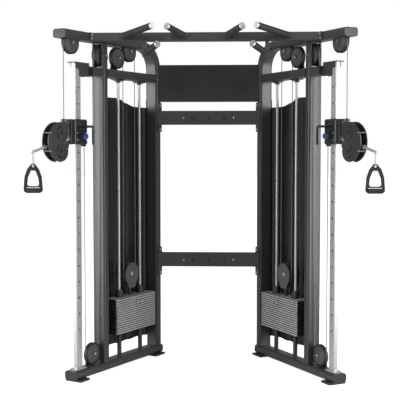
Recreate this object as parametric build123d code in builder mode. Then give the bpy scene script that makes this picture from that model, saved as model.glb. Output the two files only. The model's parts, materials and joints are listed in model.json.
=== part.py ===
from build123d import *

import math
import os

os.makedirs("parts", exist_ok=True)

# Driving dimensions, in millimetres. A tower is drawn in its own plane: s runs to the rear, n to the inside.
TOE_IN = 29.0
TOWER_X = 825.0
DEPTH_SHIFT = 274.83
PAD_T = 4.0
PLATE_T = 8.0
TUBE_W = 96.0
TUBE_H = 54.0
TUBE_R = 16.0
WALL = 3.0
BASE_LENGTH = 945.0
BEAM_TOP = 2158.0
BEAM_FRONT = -84.0
PLUG_T = 5.0
ARCH_R = 180.0
POST_D = 50.0
POST_R = 13.0
FRONT_POST_S = 306.0
REAR_POST_S = 910.0
COLUMN_S = 67.0
COLUMN_D = 55.0
COLUMN_W = 30.0
COLUMN_TOP = 1964.0
HOLE_FIRST = 316.2
HOLE_PITCH = 100.0
HOLE_COUNT = 16
HOLE_R = 6.5
CROSS_LOW = 1895.0
CROSS_H = 53.0
ROD_S = (498.3, 736.9)
ROD_R = 9.5
STACK_S = 617.6
STACK_LOW = 226.0
PLATE_PITCH = 14.5
PLATE_H = 14.2
PLATE_COUNT = 16
PLATE_LONG = 450.0
PLATE_WIDE = 120.0
LIFTED = 3
STEM_R = 10.0
PIN_R = 4.5
CABLE_R = 2.5
SHEAVE_R = 66.0
FLANGE_R = 70.0
RIM_HALF = 14.0
HUB_R = 13.0
HUB_HALF = 19.0
AXLE_R = 6.0
RUN_FIT = 0.05
LOOSE_FIT = 1.0
TOP_SHEAVE_S = 14.0
TOP_SHEAVE_Z = BEAM_TOP - TUBE_H - 20
MID_SHEAVE_Z = 2030.0
BASE_SHEAVE_S = 207.0
BASE_SHEAVE_Z = 138.0
FLOAT_Z = 602.0
SWIVEL_S = -52.0
HEAD_R = 52.0
HEAD_FLANGE = 54.0
HEAD_HIGH = 1535.0
HEAD_LOW = 1426.0
HEAD_INNER = 20.5
HEAD_PLATE = 5.0
LOBE_R = 62.0
BROW_R = 120.0
CABLE_DIP = 14.5
STOP_R = 14.0
CARRIAGE_LOW = 1467.0
CARRIAGE_HIGH = 1621.0
CARRIAGE_FRONT = -5.0
CARRIAGE_REAR = 134.0
CARRIAGE_HALF = 42.0
SLIDE_FIT = 0.6
PLUNGER_HOLE = 12
PLUNGER_R = 6.0
PLUNGER_IN = 12.0
BOSS_T = 3.0
KNOB_R = 17.0
BAR_R = 7.5
HANDLE_S = -331.0
EYE_Z = 1341.0
GRIP_Z = 1198.0
BAR_Y = 123.0
BAR_D = 52.0
BAR_H = 55.0
BAR_LOW = BEAM_TOP - BAR_H
GRIP_R = 20.0
BEAM_Y = 768.0
BEAM_D = 46.0
BEAM_HALF_X = TOWER_X - 465
PANEL_LOW = 1763.0
PANEL_HIGH = 2017.0

# Values that follow from the driving dimensions.
BASE_LOW = PAD_T + PLATE_T
BASE_TOP = BASE_LOW + TUBE_H
BEAM_LOW = BEAM_TOP - TUBE_H
POST_FRONT = FRONT_POST_S - POST_D / 2
POST_REAR = FRONT_POST_S + POST_D / 2
REAR_OUT = REAR_POST_S + POST_D / 2
CROSS_TOP = CROSS_LOW + CROSS_H
STACK_TOP = STACK_LOW + PLATE_PITCH * PLATE_COUNT
REST_COUNT = PLATE_COUNT - LIFTED
LIFT_LOW = STACK_LOW + PLATE_PITCH * REST_COUNT
PIN_Z = LIFT_LOW + PLATE_H / 2
REAR_SHEAVE_S = STACK_S
MID_SHEAVE_S = STACK_S - 2 * SHEAVE_R
HEAD_S = SWIVEL_S - HEAD_R
HEAD_MID = (HEAD_HIGH + HEAD_LOW) / 2
PLUNGER_Z = HOLE_FIRST + HOLE_PITCH * PLUNGER_HOLE
KNOB_N = CARRIAGE_HALF + BOSS_T + PLUNGER_IN + 8
COLUMN_HALF = COLUMN_W / 2
TOP_LINE = TOP_SHEAVE_Z + SHEAVE_R
MID_LINE = MID_SHEAVE_Z + SHEAVE_R
ANCHOR_S = BASE_SHEAVE_S - SHEAVE_R

sin_toe = math.sin(math.radians(TOE_IN))
cos_toe = math.cos(math.radians(TOE_IN))
ALONG = Vector(sin_toe, cos_toe, 0)
INWARD = Vector(cos_toe, -sin_toe, 0)
UPWARD = Vector(0, 0, 1)


def spot(s, n, z):
    """A point of the left tower, from its own s, n and height."""
    return Vector(-TOWER_X, -DEPTH_SHIFT, 0) + ALONG * s + INWARD * n + UPWARD * z


def side(n=0.0):
    """The tower's own plane at n: local x is s, local y is height, normal inward."""
    return Plane(origin=spot(0, n, 0), x_dir=ALONG, z_dir=INWARD)


def level(z):
    """A level plane: local x is s, local y is outward."""
    return Plane(origin=spot(0, 0, z), x_dir=ALONG, z_dir=UPWARD)


def across(s):
    """A plane square to s: local x is n, local y is height, normal to the front."""
    return Plane(origin=spot(s, 0, 0), x_dir=INWARD, z_dir=-ALONG)


def world(x, y, z):
    """A point in the machine's frame, from a depth counted from the base's front end."""
    return Vector(x, y - DEPTH_SHIFT, z)


def tube_outline(width, height, radius, wall):
    """A hollow rounded rectangle in the sketch being built."""
    RectangleRounded(width, height, radius)
    RectangleRounded(width - 2 * wall, height - 2 * wall, max(radius - wall, 1.0), mode=Mode.SUBTRACT)


def keep(holder, label):
    """Name a finished sub-part and write it."""
    holder.part.label = label
    export_step(holder.part, f"parts/{label}.step")


def keep_pair(holder, label):
    """Write a left sub-part and its mirror image for the right tower."""
    left = holder.part
    left.label = f"left_{label}"
    export_step(left, f"parts/left_{label}.step")
    right = mirror(left, about=Plane.YZ)
    right.label = f"right_{label}"
    export_step(right, f"parts/right_{label}.step")


# Base rails: rounded tubes that toe in towards the rear, welded to foot plates that stick out inwards
# with an anchor hole each, and carrying cheeks for the base pulleys.
FOOT_SPANS = ((0.0, 96.0), (829.0, BASE_LENGTH))
FOOT_OUT = 52.0
FOOT_IN = 74.0
with BuildPart() as base_rails:
    with BuildSketch(across(0)):
        with Locations((0, BASE_LOW + TUBE_H / 2)):
            tube_outline(TUBE_W, TUBE_H, TUBE_R, WALL)
    extrude(amount=-BASE_LENGTH)
    with BuildSketch(level(PAD_T)):
        for first, last in FOOT_SPANS:
            with Locations(((first + last) / 2, (FOOT_OUT - FOOT_IN) / 2)):
                RectangleRounded(last - first, FOOT_OUT + FOOT_IN, 9)
            with Locations(((first + last) / 2, -FOOT_IN + 14)):
                Circle(6.5, mode=Mode.SUBTRACT)
    extrude(amount=PLATE_T)
    with BuildSketch(side(-HUB_HALF - 3)):
        with BuildLine():
            Polyline(
                (BASE_SHEAVE_S - 40, BASE_TOP - 1),
                (BASE_SHEAVE_S + 40, BASE_TOP - 1),
                (BASE_SHEAVE_S + 16, BASE_SHEAVE_Z + 18),
                (BASE_SHEAVE_S - 16, BASE_SHEAVE_Z + 18),
                close=True,
            )
        make_face()
        with Locations((BASE_SHEAVE_S, BASE_SHEAVE_Z)):
            Circle(AXLE_R, mode=Mode.SUBTRACT)
    extrude(amount=-6)
    mirror(about=Plane.YZ)
keep(base_rails, "base_rails")

# Rubber pads under the foot plates and plastic plugs in the open tube ends.
with BuildPart() as plugs_and_pads:
    with BuildSketch(level(0)):
        for first, last in FOOT_SPANS:
            with Locations(((first + last) / 2, (FOOT_OUT - FOOT_IN) / 2)):
                RectangleRounded(last - first - 5, FOOT_OUT + FOOT_IN - 5, 7)
    extrude(amount=PAD_T)
    for face_s, height, outward in (
        (0.0, BASE_LOW + TUBE_H / 2, 1),
        (BASE_LENGTH, BASE_LOW + TUBE_H / 2, -1),
        (BEAM_FRONT, BEAM_LOW + TUBE_H / 2, 1),
    ):
        with BuildSketch(across(face_s)):
            with Locations((0, height)):
                RectangleRounded(TUBE_W, TUBE_H, TUBE_R)
        extrude(amount=outward * PLUG_T)
        with BuildSketch(across(face_s)):
            with Locations((0, height)):
                tube_outline(TUBE_W - 2 * WALL - 0.4, TUBE_H - 2 * WALL - 0.4, TUBE_R - WALL, WALL)
        extrude(amount=-outward * 12)
    mirror(about=Plane.YZ)
keep(plugs_and_pads, "plugs_and_pads")

# Guide columns: polished rectangular tubes with a ladder of locking holes on the inner face.
with BuildPart() as guide_columns:
    with BuildSketch(level(BASE_TOP)):
        with Locations((COLUMN_S, 0)):
            tube_outline(COLUMN_D, COLUMN_W, 5, 2.5)
    extrude(amount=COLUMN_TOP - BASE_TOP)
    with BuildSketch(level(BASE_TOP)):
        with Locations((COLUMN_S, 0)):
            RectangleRounded(96, 62, 8)
            RectangleRounded(COLUMN_D - 5, COLUMN_W - 5, 2.5, mode=Mode.SUBTRACT)
        with Locations((COLUMN_S - 38, 0), (COLUMN_S + 38, 0)):
            Circle(5, mode=Mode.SUBTRACT)
    extrude(amount=8)
    with BuildSketch(side(COLUMN_HALF + 1)):
        for index in range(HOLE_COUNT):
            with Locations((COLUMN_S, HOLE_FIRST + HOLE_PITCH * index)):
                Circle(HOLE_R)
    extrude(amount=-10, mode=Mode.SUBTRACT)
    mirror(about=Plane.YZ)
keep(guide_columns, "guide_columns")

# Front uprights: tubes with pressed grooves down the front and a window at the top for a pulley.
GROOVES = ((120.0, 362.0), (498.0, 1500.0), (1526.0, 1930.0))
with BuildPart() as front_uprights:
    with BuildSketch(level(BASE_TOP)):
        with Locations((FRONT_POST_S, 0)):
            tube_outline(POST_D, TUBE_W, POST_R, WALL)
    extrude(amount=BEAM_LOW - BASE_TOP)
    with BuildSketch(across(POST_FRONT)):
        with Locations((0, (1956 + 2101) / 2)):
            RectangleRounded(68, 145, 6)
    extrude(amount=-POST_D, mode=Mode.SUBTRACT)
    with BuildSketch(across(POST_FRONT)):
        for low, high in GROOVES:
            for groove_n in (-24, 24):
                with Locations((groove_n, (low + high) / 2)):
                    SlotOverall(high - low, 12, rotation=90)
    extrude(amount=-1.4, mode=Mode.SUBTRACT)
    with BuildSketch(side(TUBE_W / 2)):
        with Locations((FRONT_POST_S, MID_SHEAVE_Z)):
            Circle(AXLE_R)
    extrude(amount=-TUBE_W, mode=Mode.SUBTRACT)
    mirror(about=Plane.YZ)
keep(front_uprights, "front_uprights")

# Arch frames: one bent tube makes the top beam, the rear bend and the rear upright.
ARCH_MID = ARCH_R - TUBE_H / 2
with BuildPart() as arch_frames:
    with BuildLine(side(0)):
        Line((BEAM_FRONT, BEAM_TOP - TUBE_H / 2), (REAR_OUT - ARCH_R, BEAM_TOP - TUBE_H / 2))
        CenterArc((REAR_OUT - ARCH_R, BEAM_TOP - ARCH_R), ARCH_MID, 90, -90)
        Line((REAR_OUT - TUBE_H / 2, BEAM_TOP - ARCH_R), (REAR_OUT - TUBE_H / 2, BASE_TOP))
    with BuildSketch(across(BEAM_FRONT)):
        with Locations((0, BEAM_TOP - TUBE_H / 2)):
            tube_outline(TUBE_W, TUBE_H, TUBE_R, WALL)
    sweep()
    with BuildSketch(level(BEAM_LOW - 1)):
        with Locations((TOP_SHEAVE_S, 0), (REAR_SHEAVE_S, 0)):
            RectangleRounded(2 * FLANGE_R + 14, 2 * RIM_HALF + 14, 5)
    extrude(amount=WALL + 2, mode=Mode.SUBTRACT)
    for sheave_s in (TOP_SHEAVE_S, REAR_SHEAVE_S):
        with BuildSketch(side(-HUB_HALF - 3)):
            with BuildLine():
                Polyline(
                    (sheave_s - 34, BEAM_LOW + 1),
                    (sheave_s + 34, BEAM_LOW + 1),
                    (sheave_s + 15, TOP_SHEAVE_Z - 16),
                    (sheave_s - 15, TOP_SHEAVE_Z - 16),
                    close=True,
                )
            make_face()
            with Locations((sheave_s, TOP_SHEAVE_Z)):
                Circle(AXLE_R, mode=Mode.SUBTRACT)
        extrude(amount=-6)
    mirror(about=Plane.YZ)
keep(arch_frames, "arch_frames")

# Tower crossmembers with the bracket that holds the column's head and a cheek for the middle pulley.
BRACKET_REAR = 178.0
FALL_S = FRONT_POST_S - SHEAVE_R + 1.6
with BuildPart() as tower_crossmembers:
    for first, last in ((BRACKET_REAR, POST_FRONT), (POST_REAR, REAR_OUT - TUBE_H)):
        with BuildSketch(across(first)):
            with Locations((0, CROSS_LOW + CROSS_H / 2)):
                tube_outline(TUBE_W, CROSS_H, 10, WALL)
        extrude(amount=first - last)
    with BuildSketch(level(CROSS_LOW - 1)):
        with Locations((FALL_S, 0), (STACK_S - SHEAVE_R, 0), (STACK_S + SHEAVE_R, 0)):
            Circle(9)
    extrude(amount=CROSS_H + 2, mode=Mode.SUBTRACT)
    for inner_n in (COLUMN_HALF, -COLUMN_HALF - 6):
        with BuildSketch(side(inner_n)):
            with BuildLine():
                Polyline(
                    (COLUMN_S - 25, COLUMN_TOP),
                    (168, COLUMN_TOP),
                    (BRACKET_REAR + 4, CROSS_TOP - 4),
                    (BRACKET_REAR + 4, CROSS_LOW + 4),
                    (168, 1886),
                    (COLUMN_S + 12, 1886),
                    (COLUMN_S + 12, 1926),
                    (COLUMN_S - 25, 1936),
                    close=True,
                )
            make_face()
        extrude(amount=6)
    with BuildSketch(across(BRACKET_REAR)):
        with Locations((0, CROSS_LOW + CROSS_H / 2)):
            RectangleRounded(TUBE_W, CROSS_H, 10)
    extrude(amount=-5)
    with BuildSketch(level(COLUMN_TOP)):
        with Locations(((14 + 168) / 2, 0)):
            RectangleRounded(154, 56, 5)
    extrude(amount=6)
    with BuildSketch(side(-HUB_HALF - 3)):
        with BuildLine():
            Polyline(
                (MID_SHEAVE_S - 40, CROSS_TOP - 1),
                (MID_SHEAVE_S + 40, CROSS_TOP - 1),
                (MID_SHEAVE_S + 16, MID_SHEAVE_Z + 18),
                (MID_SHEAVE_S - 16, MID_SHEAVE_Z + 18),
                close=True,
            )
        make_face()
        with Locations((MID_SHEAVE_S, MID_SHEAVE_Z)):
            Circle(AXLE_R, mode=Mode.SUBTRACT)
    extrude(amount=-6)
    mirror(about=Plane.YZ)
keep(tower_crossmembers, "tower_crossmembers")

# Guide rods that the weight plates ride on.
with BuildPart() as guide_rods:
    with BuildSketch(level(BASE_TOP)):
        with Locations(*[(s, 0) for s in ROD_S]):
            Circle(ROD_R)
    extrude(amount=CROSS_LOW - BASE_TOP)
    mirror(about=Plane.YZ)
keep(guide_rods, "guide_rods")

# Rod fittings: clamp plates under the crossmember, and spacer sleeves with buffers under the stack.
with BuildPart() as rod_fittings:
    with BuildSketch(level(CROSS_LOW - 9)):
        for s in ROD_S:
            with Locations((s, 0)):
                RectangleRounded(96, 46, 8)
                Circle(ROD_R, mode=Mode.SUBTRACT)
    extrude(amount=9)
    with BuildSketch(level(CROSS_LOW - 24)):
        for s in ROD_S:
            with Locations((s, 0)):
                Circle(ROD_R + 6)
                Circle(ROD_R, mode=Mode.SUBTRACT)
    extrude(amount=16)
    with BuildSketch(level(BASE_TOP)):
        for s in ROD_S:
            with Locations((s, 0)):
                Circle(15)
                Circle(ROD_R, mode=Mode.SUBTRACT)
    extrude(amount=STACK_LOW - 14 - BASE_TOP)
    with BuildSketch(level(STACK_LOW - 14)):
        for s in ROD_S:
            with Locations((s, 0)):
                Circle(24)
                Circle(ROD_R, mode=Mode.SUBTRACT)
    extrude(amount=14)
    mirror(about=Plane.YZ)
keep(rod_fittings, "rod_fittings")


def weight_plates(first_z, count, both_towers):
    """Weight plates from first_z up, each with rod, stem and pin holes."""
    with BuildPart() as plates:
        for index in range(count):
            with BuildSketch(level(first_z + PLATE_PITCH * index)):
                with Locations((STACK_S, 0)):
                    RectangleRounded(PLATE_LONG, PLATE_WIDE, 9)
                    Circle(STEM_R + LOOSE_FIT, mode=Mode.SUBTRACT)
                with Locations(*[(s, 0) for s in ROD_S]):
                    Circle(ROD_R + LOOSE_FIT, mode=Mode.SUBTRACT)
                with Locations((STACK_S, PLATE_WIDE / 2), (STACK_S, -PLATE_WIDE / 2)):
                    Rectangle(14, 2.4, mode=Mode.SUBTRACT)
            extrude(amount=PLATE_H)
        with BuildSketch(side(PLATE_WIDE / 2)):
            for index in range(count):
                with Locations((STACK_S, first_z + PLATE_PITCH * index + PLATE_H / 2)):
                    Circle(PIN_R + 0.4)
        extrude(amount=-PLATE_WIDE / 2, mode=Mode.SUBTRACT)
        if both_towers:
            mirror(about=Plane.YZ)
    return plates


# The plates below the selector pin stay on their buffers.
resting_plates = weight_plates(STACK_LOW, REST_COUNT, True)
keep(resting_plates, "resting_plates")

# The plates above the selector pin lift with the stem.
lifted_plates = weight_plates(LIFT_LOW, LIFTED, False)
keep_pair(lifted_plates, "lifted_plates")

# Stack yoke: top bushings, selector stem with its row of holes, neck block and the floating pulley's cheeks.
CHEEK_N = 17.5
with BuildPart() as stack_yoke:
    with BuildSketch(level(STACK_TOP)):
        for s in ROD_S:
            with Locations((s, 0)):
                Circle(25)
                Circle(ROD_R + RUN_FIT, mode=Mode.SUBTRACT)
    extrude(amount=48)
    with BuildSketch(level(STACK_LOW + 6)):
        with Locations((STACK_S, 0)):
            Circle(STEM_R)
    extrude(amount=522 - STACK_LOW - 6)
    with BuildSketch(level(508)):
        with Locations((STACK_S, 0)):
            RectangleRounded(64, 2 * CHEEK_N + 8, 5)
    extrude(amount=20)
    with BuildSketch(side(PLATE_WIDE / 2)):
        for index in range(PLATE_COUNT):
            with Locations((STACK_S, STACK_LOW + PLATE_PITCH * index + PLATE_H / 2)):
                Circle(PIN_R + 0.4)
    extrude(amount=-PLATE_WIDE, mode=Mode.SUBTRACT)
    for cheek in (CHEEK_N, -CHEEK_N - 4):
        with BuildSketch(side(cheek)):
            with Locations((STACK_S, FLOAT_Z)):
                Circle(75)
            with BuildLine():
                Polyline(
                    (STACK_S - 66, FLOAT_Z - 36),
                    (STACK_S - 32, 508),
                    (STACK_S + 32, 508),
                    (STACK_S + 66, FLOAT_Z - 36),
                    close=True,
                )
            make_face()
        extrude(amount=4)
    with BuildSketch(side(CHEEK_N + 10)):
        with Locations((STACK_S, FLOAT_Z)):
            Circle(AXLE_R)
    extrude(amount=-2 * CHEEK_N - 20)
keep_pair(stack_yoke, "stack_yoke")


def sheave(s, z, flange, cable, rim_half, hub_half, dome):
    """A grooved pulley turned round an axis along n through s, z."""
    with BuildPart() as turned:
        with BuildSketch(Plane(origin=spot(s, 0, z), x_dir=UPWARD, z_dir=ALONG)):
            with BuildLine():
                Polyline(
                    (AXLE_R + RUN_FIT, -hub_half),
                    (HUB_R, -hub_half),
                    (HUB_R, -dome),
                    (flange - 16, -rim_half),
                    (flange - 2, -rim_half),
                    (flange, -rim_half + 2),
                    (flange, -CABLE_R - 3),
                    (cable - CABLE_R - 0.4, -1.2),
                    (cable - CABLE_R - 0.4, 1.2),
                    (flange, CABLE_R + 3),
                    (flange, rim_half - 2),
                    (flange - 2, rim_half),
                    (flange - 16, rim_half),
                    (HUB_R, dome),
                    (HUB_R, hub_half),
                    (AXLE_R + RUN_FIT, hub_half),
                    close=True,
                )
            make_face()
        revolve(axis=Axis(spot(s, 0, z), INWARD))
    return turned


# The five fixed pulleys of each cable, and the one that floats on the stack.
SHEAVES = (
    ("top_front_pulley", TOP_SHEAVE_S, TOP_SHEAVE_Z),
    ("upright_pulley", FRONT_POST_S, MID_SHEAVE_Z),
    ("crossmember_pulley", MID_SHEAVE_S, MID_SHEAVE_Z),
    ("top_rear_pulley", REAR_SHEAVE_S, TOP_SHEAVE_Z),
    ("base_pulley", BASE_SHEAVE_S, BASE_SHEAVE_Z),
)
for sheave_name, sheave_s, sheave_z in SHEAVES:
    fixed_sheave = sheave(sheave_s, sheave_z, FLANGE_R, SHEAVE_R, RIM_HALF, HUB_HALF, RIM_HALF + 4)
    keep_pair(fixed_sheave, sheave_name)

stack_pulley = sheave(STACK_S, FLOAT_Z, FLANGE_R, SHEAVE_R, RIM_HALF, CHEEK_N - 0.4, RIM_HALF + 1)
keep_pair(stack_pulley, "stack_pulley")

# Selector pin with its round knob.
with BuildPart() as selector_pin:
    with BuildSketch(side(-9)):
        with Locations((STACK_S, PIN_Z)):
            Circle(PIN_R)
    extrude(amount=PLATE_WIDE / 2 + 9 + 12)
    with BuildSketch(side(PLATE_WIDE / 2 + 4)):
        with Locations((STACK_S, PIN_Z)):
            Circle(6.5)
    extrude(amount=24)
    with BuildSketch(side(PLATE_WIDE / 2 + 28)):
        with Locations((STACK_S, PIN_Z)):
            Circle(8.5)
    extrude(amount=16)
    chamfer(selector_pin.edges().filter_by(GeomType.CIRCLE).group_by(SortBy.RADIUS)[-1], 1.2)
keep_pair(selector_pin, "selector_pin")

def beyond_towers(clearance):
    """The space past the inner faces of both towers, as a tool for trimming what spans them."""
    with BuildPart() as beyond:
        with BuildSketch(level(0)):
            with Locations((550, 400 - clearance)):
                Rectangle(1900, 800)
        extrude(amount=2400)
        mirror(about=Plane.YZ)
    return beyond.part


FLANGE_T = 6.0
GRIP_SPAN = 600.0
INNER_N = TUBE_W / 2

# Pull-up bar: a square tube between the towers with bolted flanges, hangers and stubs for the grips.
GRIPS = (
    ("long", (-526.0, BAR_Y, BAR_LOW + 28), (-305.0, -106.0, BAR_LOW + 67), 44.0),
    ("inner", (-119.0, BAR_Y, BAR_LOW + 28), (-229.0, -38.0, BAR_LOW + 72), 36.0),
    ("short", (-371.0, 112.0, BAR_LOW - 75), (-285.0, 8.0, BAR_LOW - 28), 16.0),
)


def grip_plane(base, tip, distance):
    """A plane square to a grip's axis, a distance out from its base."""
    start = world(*base)
    heading = (world(*tip) - start).normalized()
    return Plane(origin=start + heading * distance, z_dir=heading)


def grip_length(base, tip):
    """How long a grip is from its base to its tip."""
    return (world(*tip) - world(*base)).length


with BuildPart() as pull_up_bar:
    with BuildSketch(Plane.YZ):
        with Locations((BAR_Y + BAR_D / 2 - DEPTH_SHIFT, BAR_LOW + BAR_H / 2)):
            tube_outline(BAR_D, BAR_H, 7, WALL)
    extrude(amount=TOWER_X - 85, both=True)
    add(beyond_towers(INNER_N + FLANGE_T), mode=Mode.SUBTRACT)
    with BuildSketch(side(INNER_N)):
        with Locations((201, BEAM_TOP - TUBE_H / 2)):
            RectangleRounded(124, TUBE_H - 2, 6)
    extrude(amount=FLANGE_T)
    for grip_name, base, tip, start in GRIPS:
        with BuildSketch(grip_plane(base, tip, 0)):
            Circle(14)
        extrude(amount=grip_length(base, tip) - 6)
        with BuildSketch(grip_plane(base, tip, start - 8)):
            Circle(GRIP_R + 1)
        extrude(amount=8)
    with BuildSketch(Plane.XY.offset(BAR_LOW - 93)):
        with Locations((-380, BAR_Y + 22 - DEPTH_SHIFT)):
            RectangleRounded(24, 44, 4)
    extrude(amount=94)
    with BuildSketch(Plane.YZ):
        with Locations((BAR_Y + BAR_D / 2 - DEPTH_SHIFT, BAR_LOW + BAR_H / 2)):
            RectangleRounded(BAR_D - 2 * WALL, BAR_H - 2 * WALL, 4)
    extrude(amount=GRIP_SPAN, both=True, mode=Mode.SUBTRACT)
    mirror(about=Plane.YZ)
keep(pull_up_bar, "pull_up_bar")

# Rubber sleeves on the six grips.
with BuildPart() as grip_sleeves:
    for grip_name, base, tip, start in GRIPS:
        with BuildSketch(grip_plane(base, tip, start)):
            Circle(GRIP_R)
            Circle(14, mode=Mode.SUBTRACT)
        extrude(amount=grip_length(base, tip) - start - 8)
    mirror(about=Plane.YZ)
keep(grip_sleeves, "grip_sleeves")

# Polished caps that close the grips.
with BuildPart() as grip_caps:
    for grip_name, base, tip, start in GRIPS:
        length = grip_length(base, tip)
        with BuildSketch(grip_plane(base, tip, length - 8)):
            Circle(GRIP_R + 1.5)
            Circle(14, mode=Mode.SUBTRACT)
        extrude(amount=2)
        with BuildSketch(grip_plane(base, tip, length - 6)):
            Circle(GRIP_R + 1.5)
        extrude(amount=6, taper=12)
    mirror(about=Plane.YZ)
keep(grip_caps, "grip_caps")

# Crossbeams that join the rear uprights, each with tall end flanges.
BEAMS = ((1605.0, 1701.0, 1557.0, 1757.0), (623.0, 721.0, 562.0, 759.0))
with BuildPart() as crossbeams:
    for low, high, flange_low, flange_high in BEAMS:
        with BuildSketch(Plane.YZ):
            with Locations((BEAM_Y - DEPTH_SHIFT, (low + high) / 2)):
                tube_outline(BEAM_D, high - low, 8, WALL)
        extrude(amount=BEAM_HALF_X, both=True)
    add(beyond_towers(INNER_N + FLANGE_T), mode=Mode.SUBTRACT)
    for low, high, flange_low, flange_high in BEAMS:
        with BuildSketch(side(INNER_N)):
            with Locations((REAR_OUT - TUBE_H / 2, (flange_low + flange_high) / 2)):
                RectangleRounded(TUBE_H - 4, flange_high - flange_low, 6)
        extrude(amount=FLANGE_T)
    mirror(about=Plane.YZ)
keep(crossbeams, "crossbeams")

# Cover panels: a folded shroud on each tower's outer side with a sweeping top edge, and the flat panel
# with folded lips between the rear uprights.
LAP_N = -TUBE_W / 2 - 1.3
FOLDS = (
    (POST_REAR - 22, LAP_N), (POST_REAR + 3, LAP_N), (POST_REAR + 20, -64), (440, -64), (452, -74),
    (540, -74), (552, -64), (630, -64), (642, -74), (678, -74), (690, -64), (745, -64), (757, -74),
    (840, -74), (852, -64), (866, -64), (REAR_OUT - TUBE_H - 2, LAP_N), (REAR_OUT - 34, LAP_N),
)
with BuildPart() as cover_panels:
    with BuildSketch(Plane.YZ):
        with Locations((787 - DEPTH_SHIFT, (PANEL_LOW + PANEL_HIGH) / 2)):
            Rectangle(16, PANEL_HIGH - PANEL_LOW)
        with Locations((789 - DEPTH_SHIFT, (PANEL_LOW + PANEL_HIGH) / 2)):
            Rectangle(16, PANEL_HIGH - PANEL_LOW - 5, mode=Mode.SUBTRACT)
    extrude(amount=BEAM_HALF_X, both=True)
    add(beyond_towers(INNER_N + 0.3), mode=Mode.SUBTRACT)
    with BuildSketch(level(132)):
        with BuildLine():
            Polyline(*[(s, -n) for s, n in FOLDS])
        trace(line_width=2.4)
    extrude(amount=1778 - 132)
    with BuildSketch(side(0)):
        with BuildLine():
            Polyline((520, 1790), (520, 1779))
            Spline((520, 1779), (600, 1771), (680, 1748), (770, 1728), tangents=((1, 0), (1, -0.05)))
            Polyline((770, 1728), (890, 1724), (890, 1790), (520, 1790))
        make_face()
    extrude(amount=-90, mode=Mode.SUBTRACT)
    mirror(about=Plane.YZ)
keep(cover_panels, "cover_panels")

# Carriage: a rounded housing that slides on the column.
with BuildPart() as carriage_housing:
    with BuildSketch(level(CARRIAGE_LOW)):
        with Locations(((CARRIAGE_FRONT + CARRIAGE_REAR) / 2, 0)):
            RectangleRounded(CARRIAGE_REAR - CARRIAGE_FRONT, 2 * CARRIAGE_HALF, 22)
    extrude(amount=CARRIAGE_HIGH - CARRIAGE_LOW)
    fillet(carriage_housing.edges().group_by(Axis.Z)[-1], 12)
    fillet(carriage_housing.edges().group_by(Axis.Z)[0], 8)
    with BuildSketch(level(CARRIAGE_LOW)):
        with Locations((COLUMN_S, 0)):
            RectangleRounded(COLUMN_D + 2 * SLIDE_FIT, COLUMN_W + 2 * SLIDE_FIT, 5 + SLIDE_FIT)
    extrude(amount=CARRIAGE_HIGH - CARRIAGE_LOW, mode=Mode.SUBTRACT)
    with BuildSketch(side(CARRIAGE_HALF)):
        with Locations((COLUMN_S, 1590)):
            RectangleRounded(46, 22, 4)
    extrude(amount=-2, mode=Mode.SUBTRACT)
    with BuildSketch(side(CARRIAGE_HALF)):
        with Locations((COLUMN_S, PLUNGER_Z)):
            Circle(21)
    extrude(amount=BOSS_T)
    with BuildSketch(side(CARRIAGE_HALF + BOSS_T)):
        with Locations((COLUMN_S, PLUNGER_Z)):
            Circle(PLUNGER_R + RUN_FIT)
    extrude(amount=-CARRIAGE_HALF, mode=Mode.SUBTRACT)
    with BuildSketch(side(CARRIAGE_HALF)):
        with Locations((25, 1495), (25, 1537), (110, 1495), (110, 1537)):
            Circle(5)
    extrude(amount=3)
    with BuildSketch(level(CARRIAGE_LOW - 12)):
        with Locations((ANCHOR_S - 15, 0)):
            RectangleRounded(46, 22, 5)
    extrude(amount=20)
keep_pair(carriage_housing, "carriage_housing")

# Carriage bracket: two steel ears for the swivel, joined by a web, and the bent grab handle.
EAR_TOP = (1604.0, 1618.0)
EAR_LOW = (1473.0, 1489.0)
JOURNAL_R = 12.0
PIVOT_R = 6.0
with BuildPart() as carriage_bracket:
    for (low, high), tip_r, bore in ((EAR_TOP, 19.0, JOURNAL_R), (EAR_LOW, 13.0, PIVOT_R)):
        with BuildSketch(level(low)):
            with Locations((SWIVEL_S, 0)):
                Circle(tip_r)
            with Locations(((SWIVEL_S - 13) / 2, 0)):
                Rectangle(-13 - SWIVEL_S, 2 * tip_r - 6)
            with Locations((SWIVEL_S, 0)):
                Circle(bore + RUN_FIT, mode=Mode.SUBTRACT)
        extrude(amount=high - low)
    with BuildSketch(level(EAR_LOW[0])):
        with Locations((-10, 0)):
            Rectangle(8, 52)
    extrude(amount=EAR_TOP[1] - EAR_LOW[0])
    with BuildLine():
        ThreePointArc(spot(63, 121, 1575), spot(63, 129.5, 1571.5), spot(63, 133, 1563))
        Line(spot(63, CARRIAGE_HALF + 0.2, 1575), spot(63, 121, 1575))
        Line(spot(63, 133, 1563), spot(63, 133, 1465))
    with BuildSketch(side(CARRIAGE_HALF + 0.2)):
        with Locations((63, 1575)):
            Circle(BAR_R)
    sweep()
keep_pair(carriage_bracket, "carriage_bracket")

# Spring plunger, drawn just clear of the column so that the carriage is free to slide.
with BuildPart() as plunger:
    with BuildSketch(side(COLUMN_HALF + 0.8)):
        with Locations((COLUMN_S, PLUNGER_Z)):
            Circle(PLUNGER_R)
    extrude(amount=KNOB_N - COLUMN_HALF)
    with BuildSketch(side(KNOB_N - 6)):
        with Locations((COLUMN_S, PLUNGER_Z)):
            Circle(11)
    extrude(amount=8)
    with BuildSketch(side(KNOB_N)):
        with Locations((COLUMN_S, PLUNGER_Z)):
            Circle(KNOB_R)
    extrude(amount=18)
    fillet(plunger.edges().filter_by(GeomType.CIRCLE).group_by(SortBy.RADIUS)[-1], 4)
keep_pair(plunger, "plunger")

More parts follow.
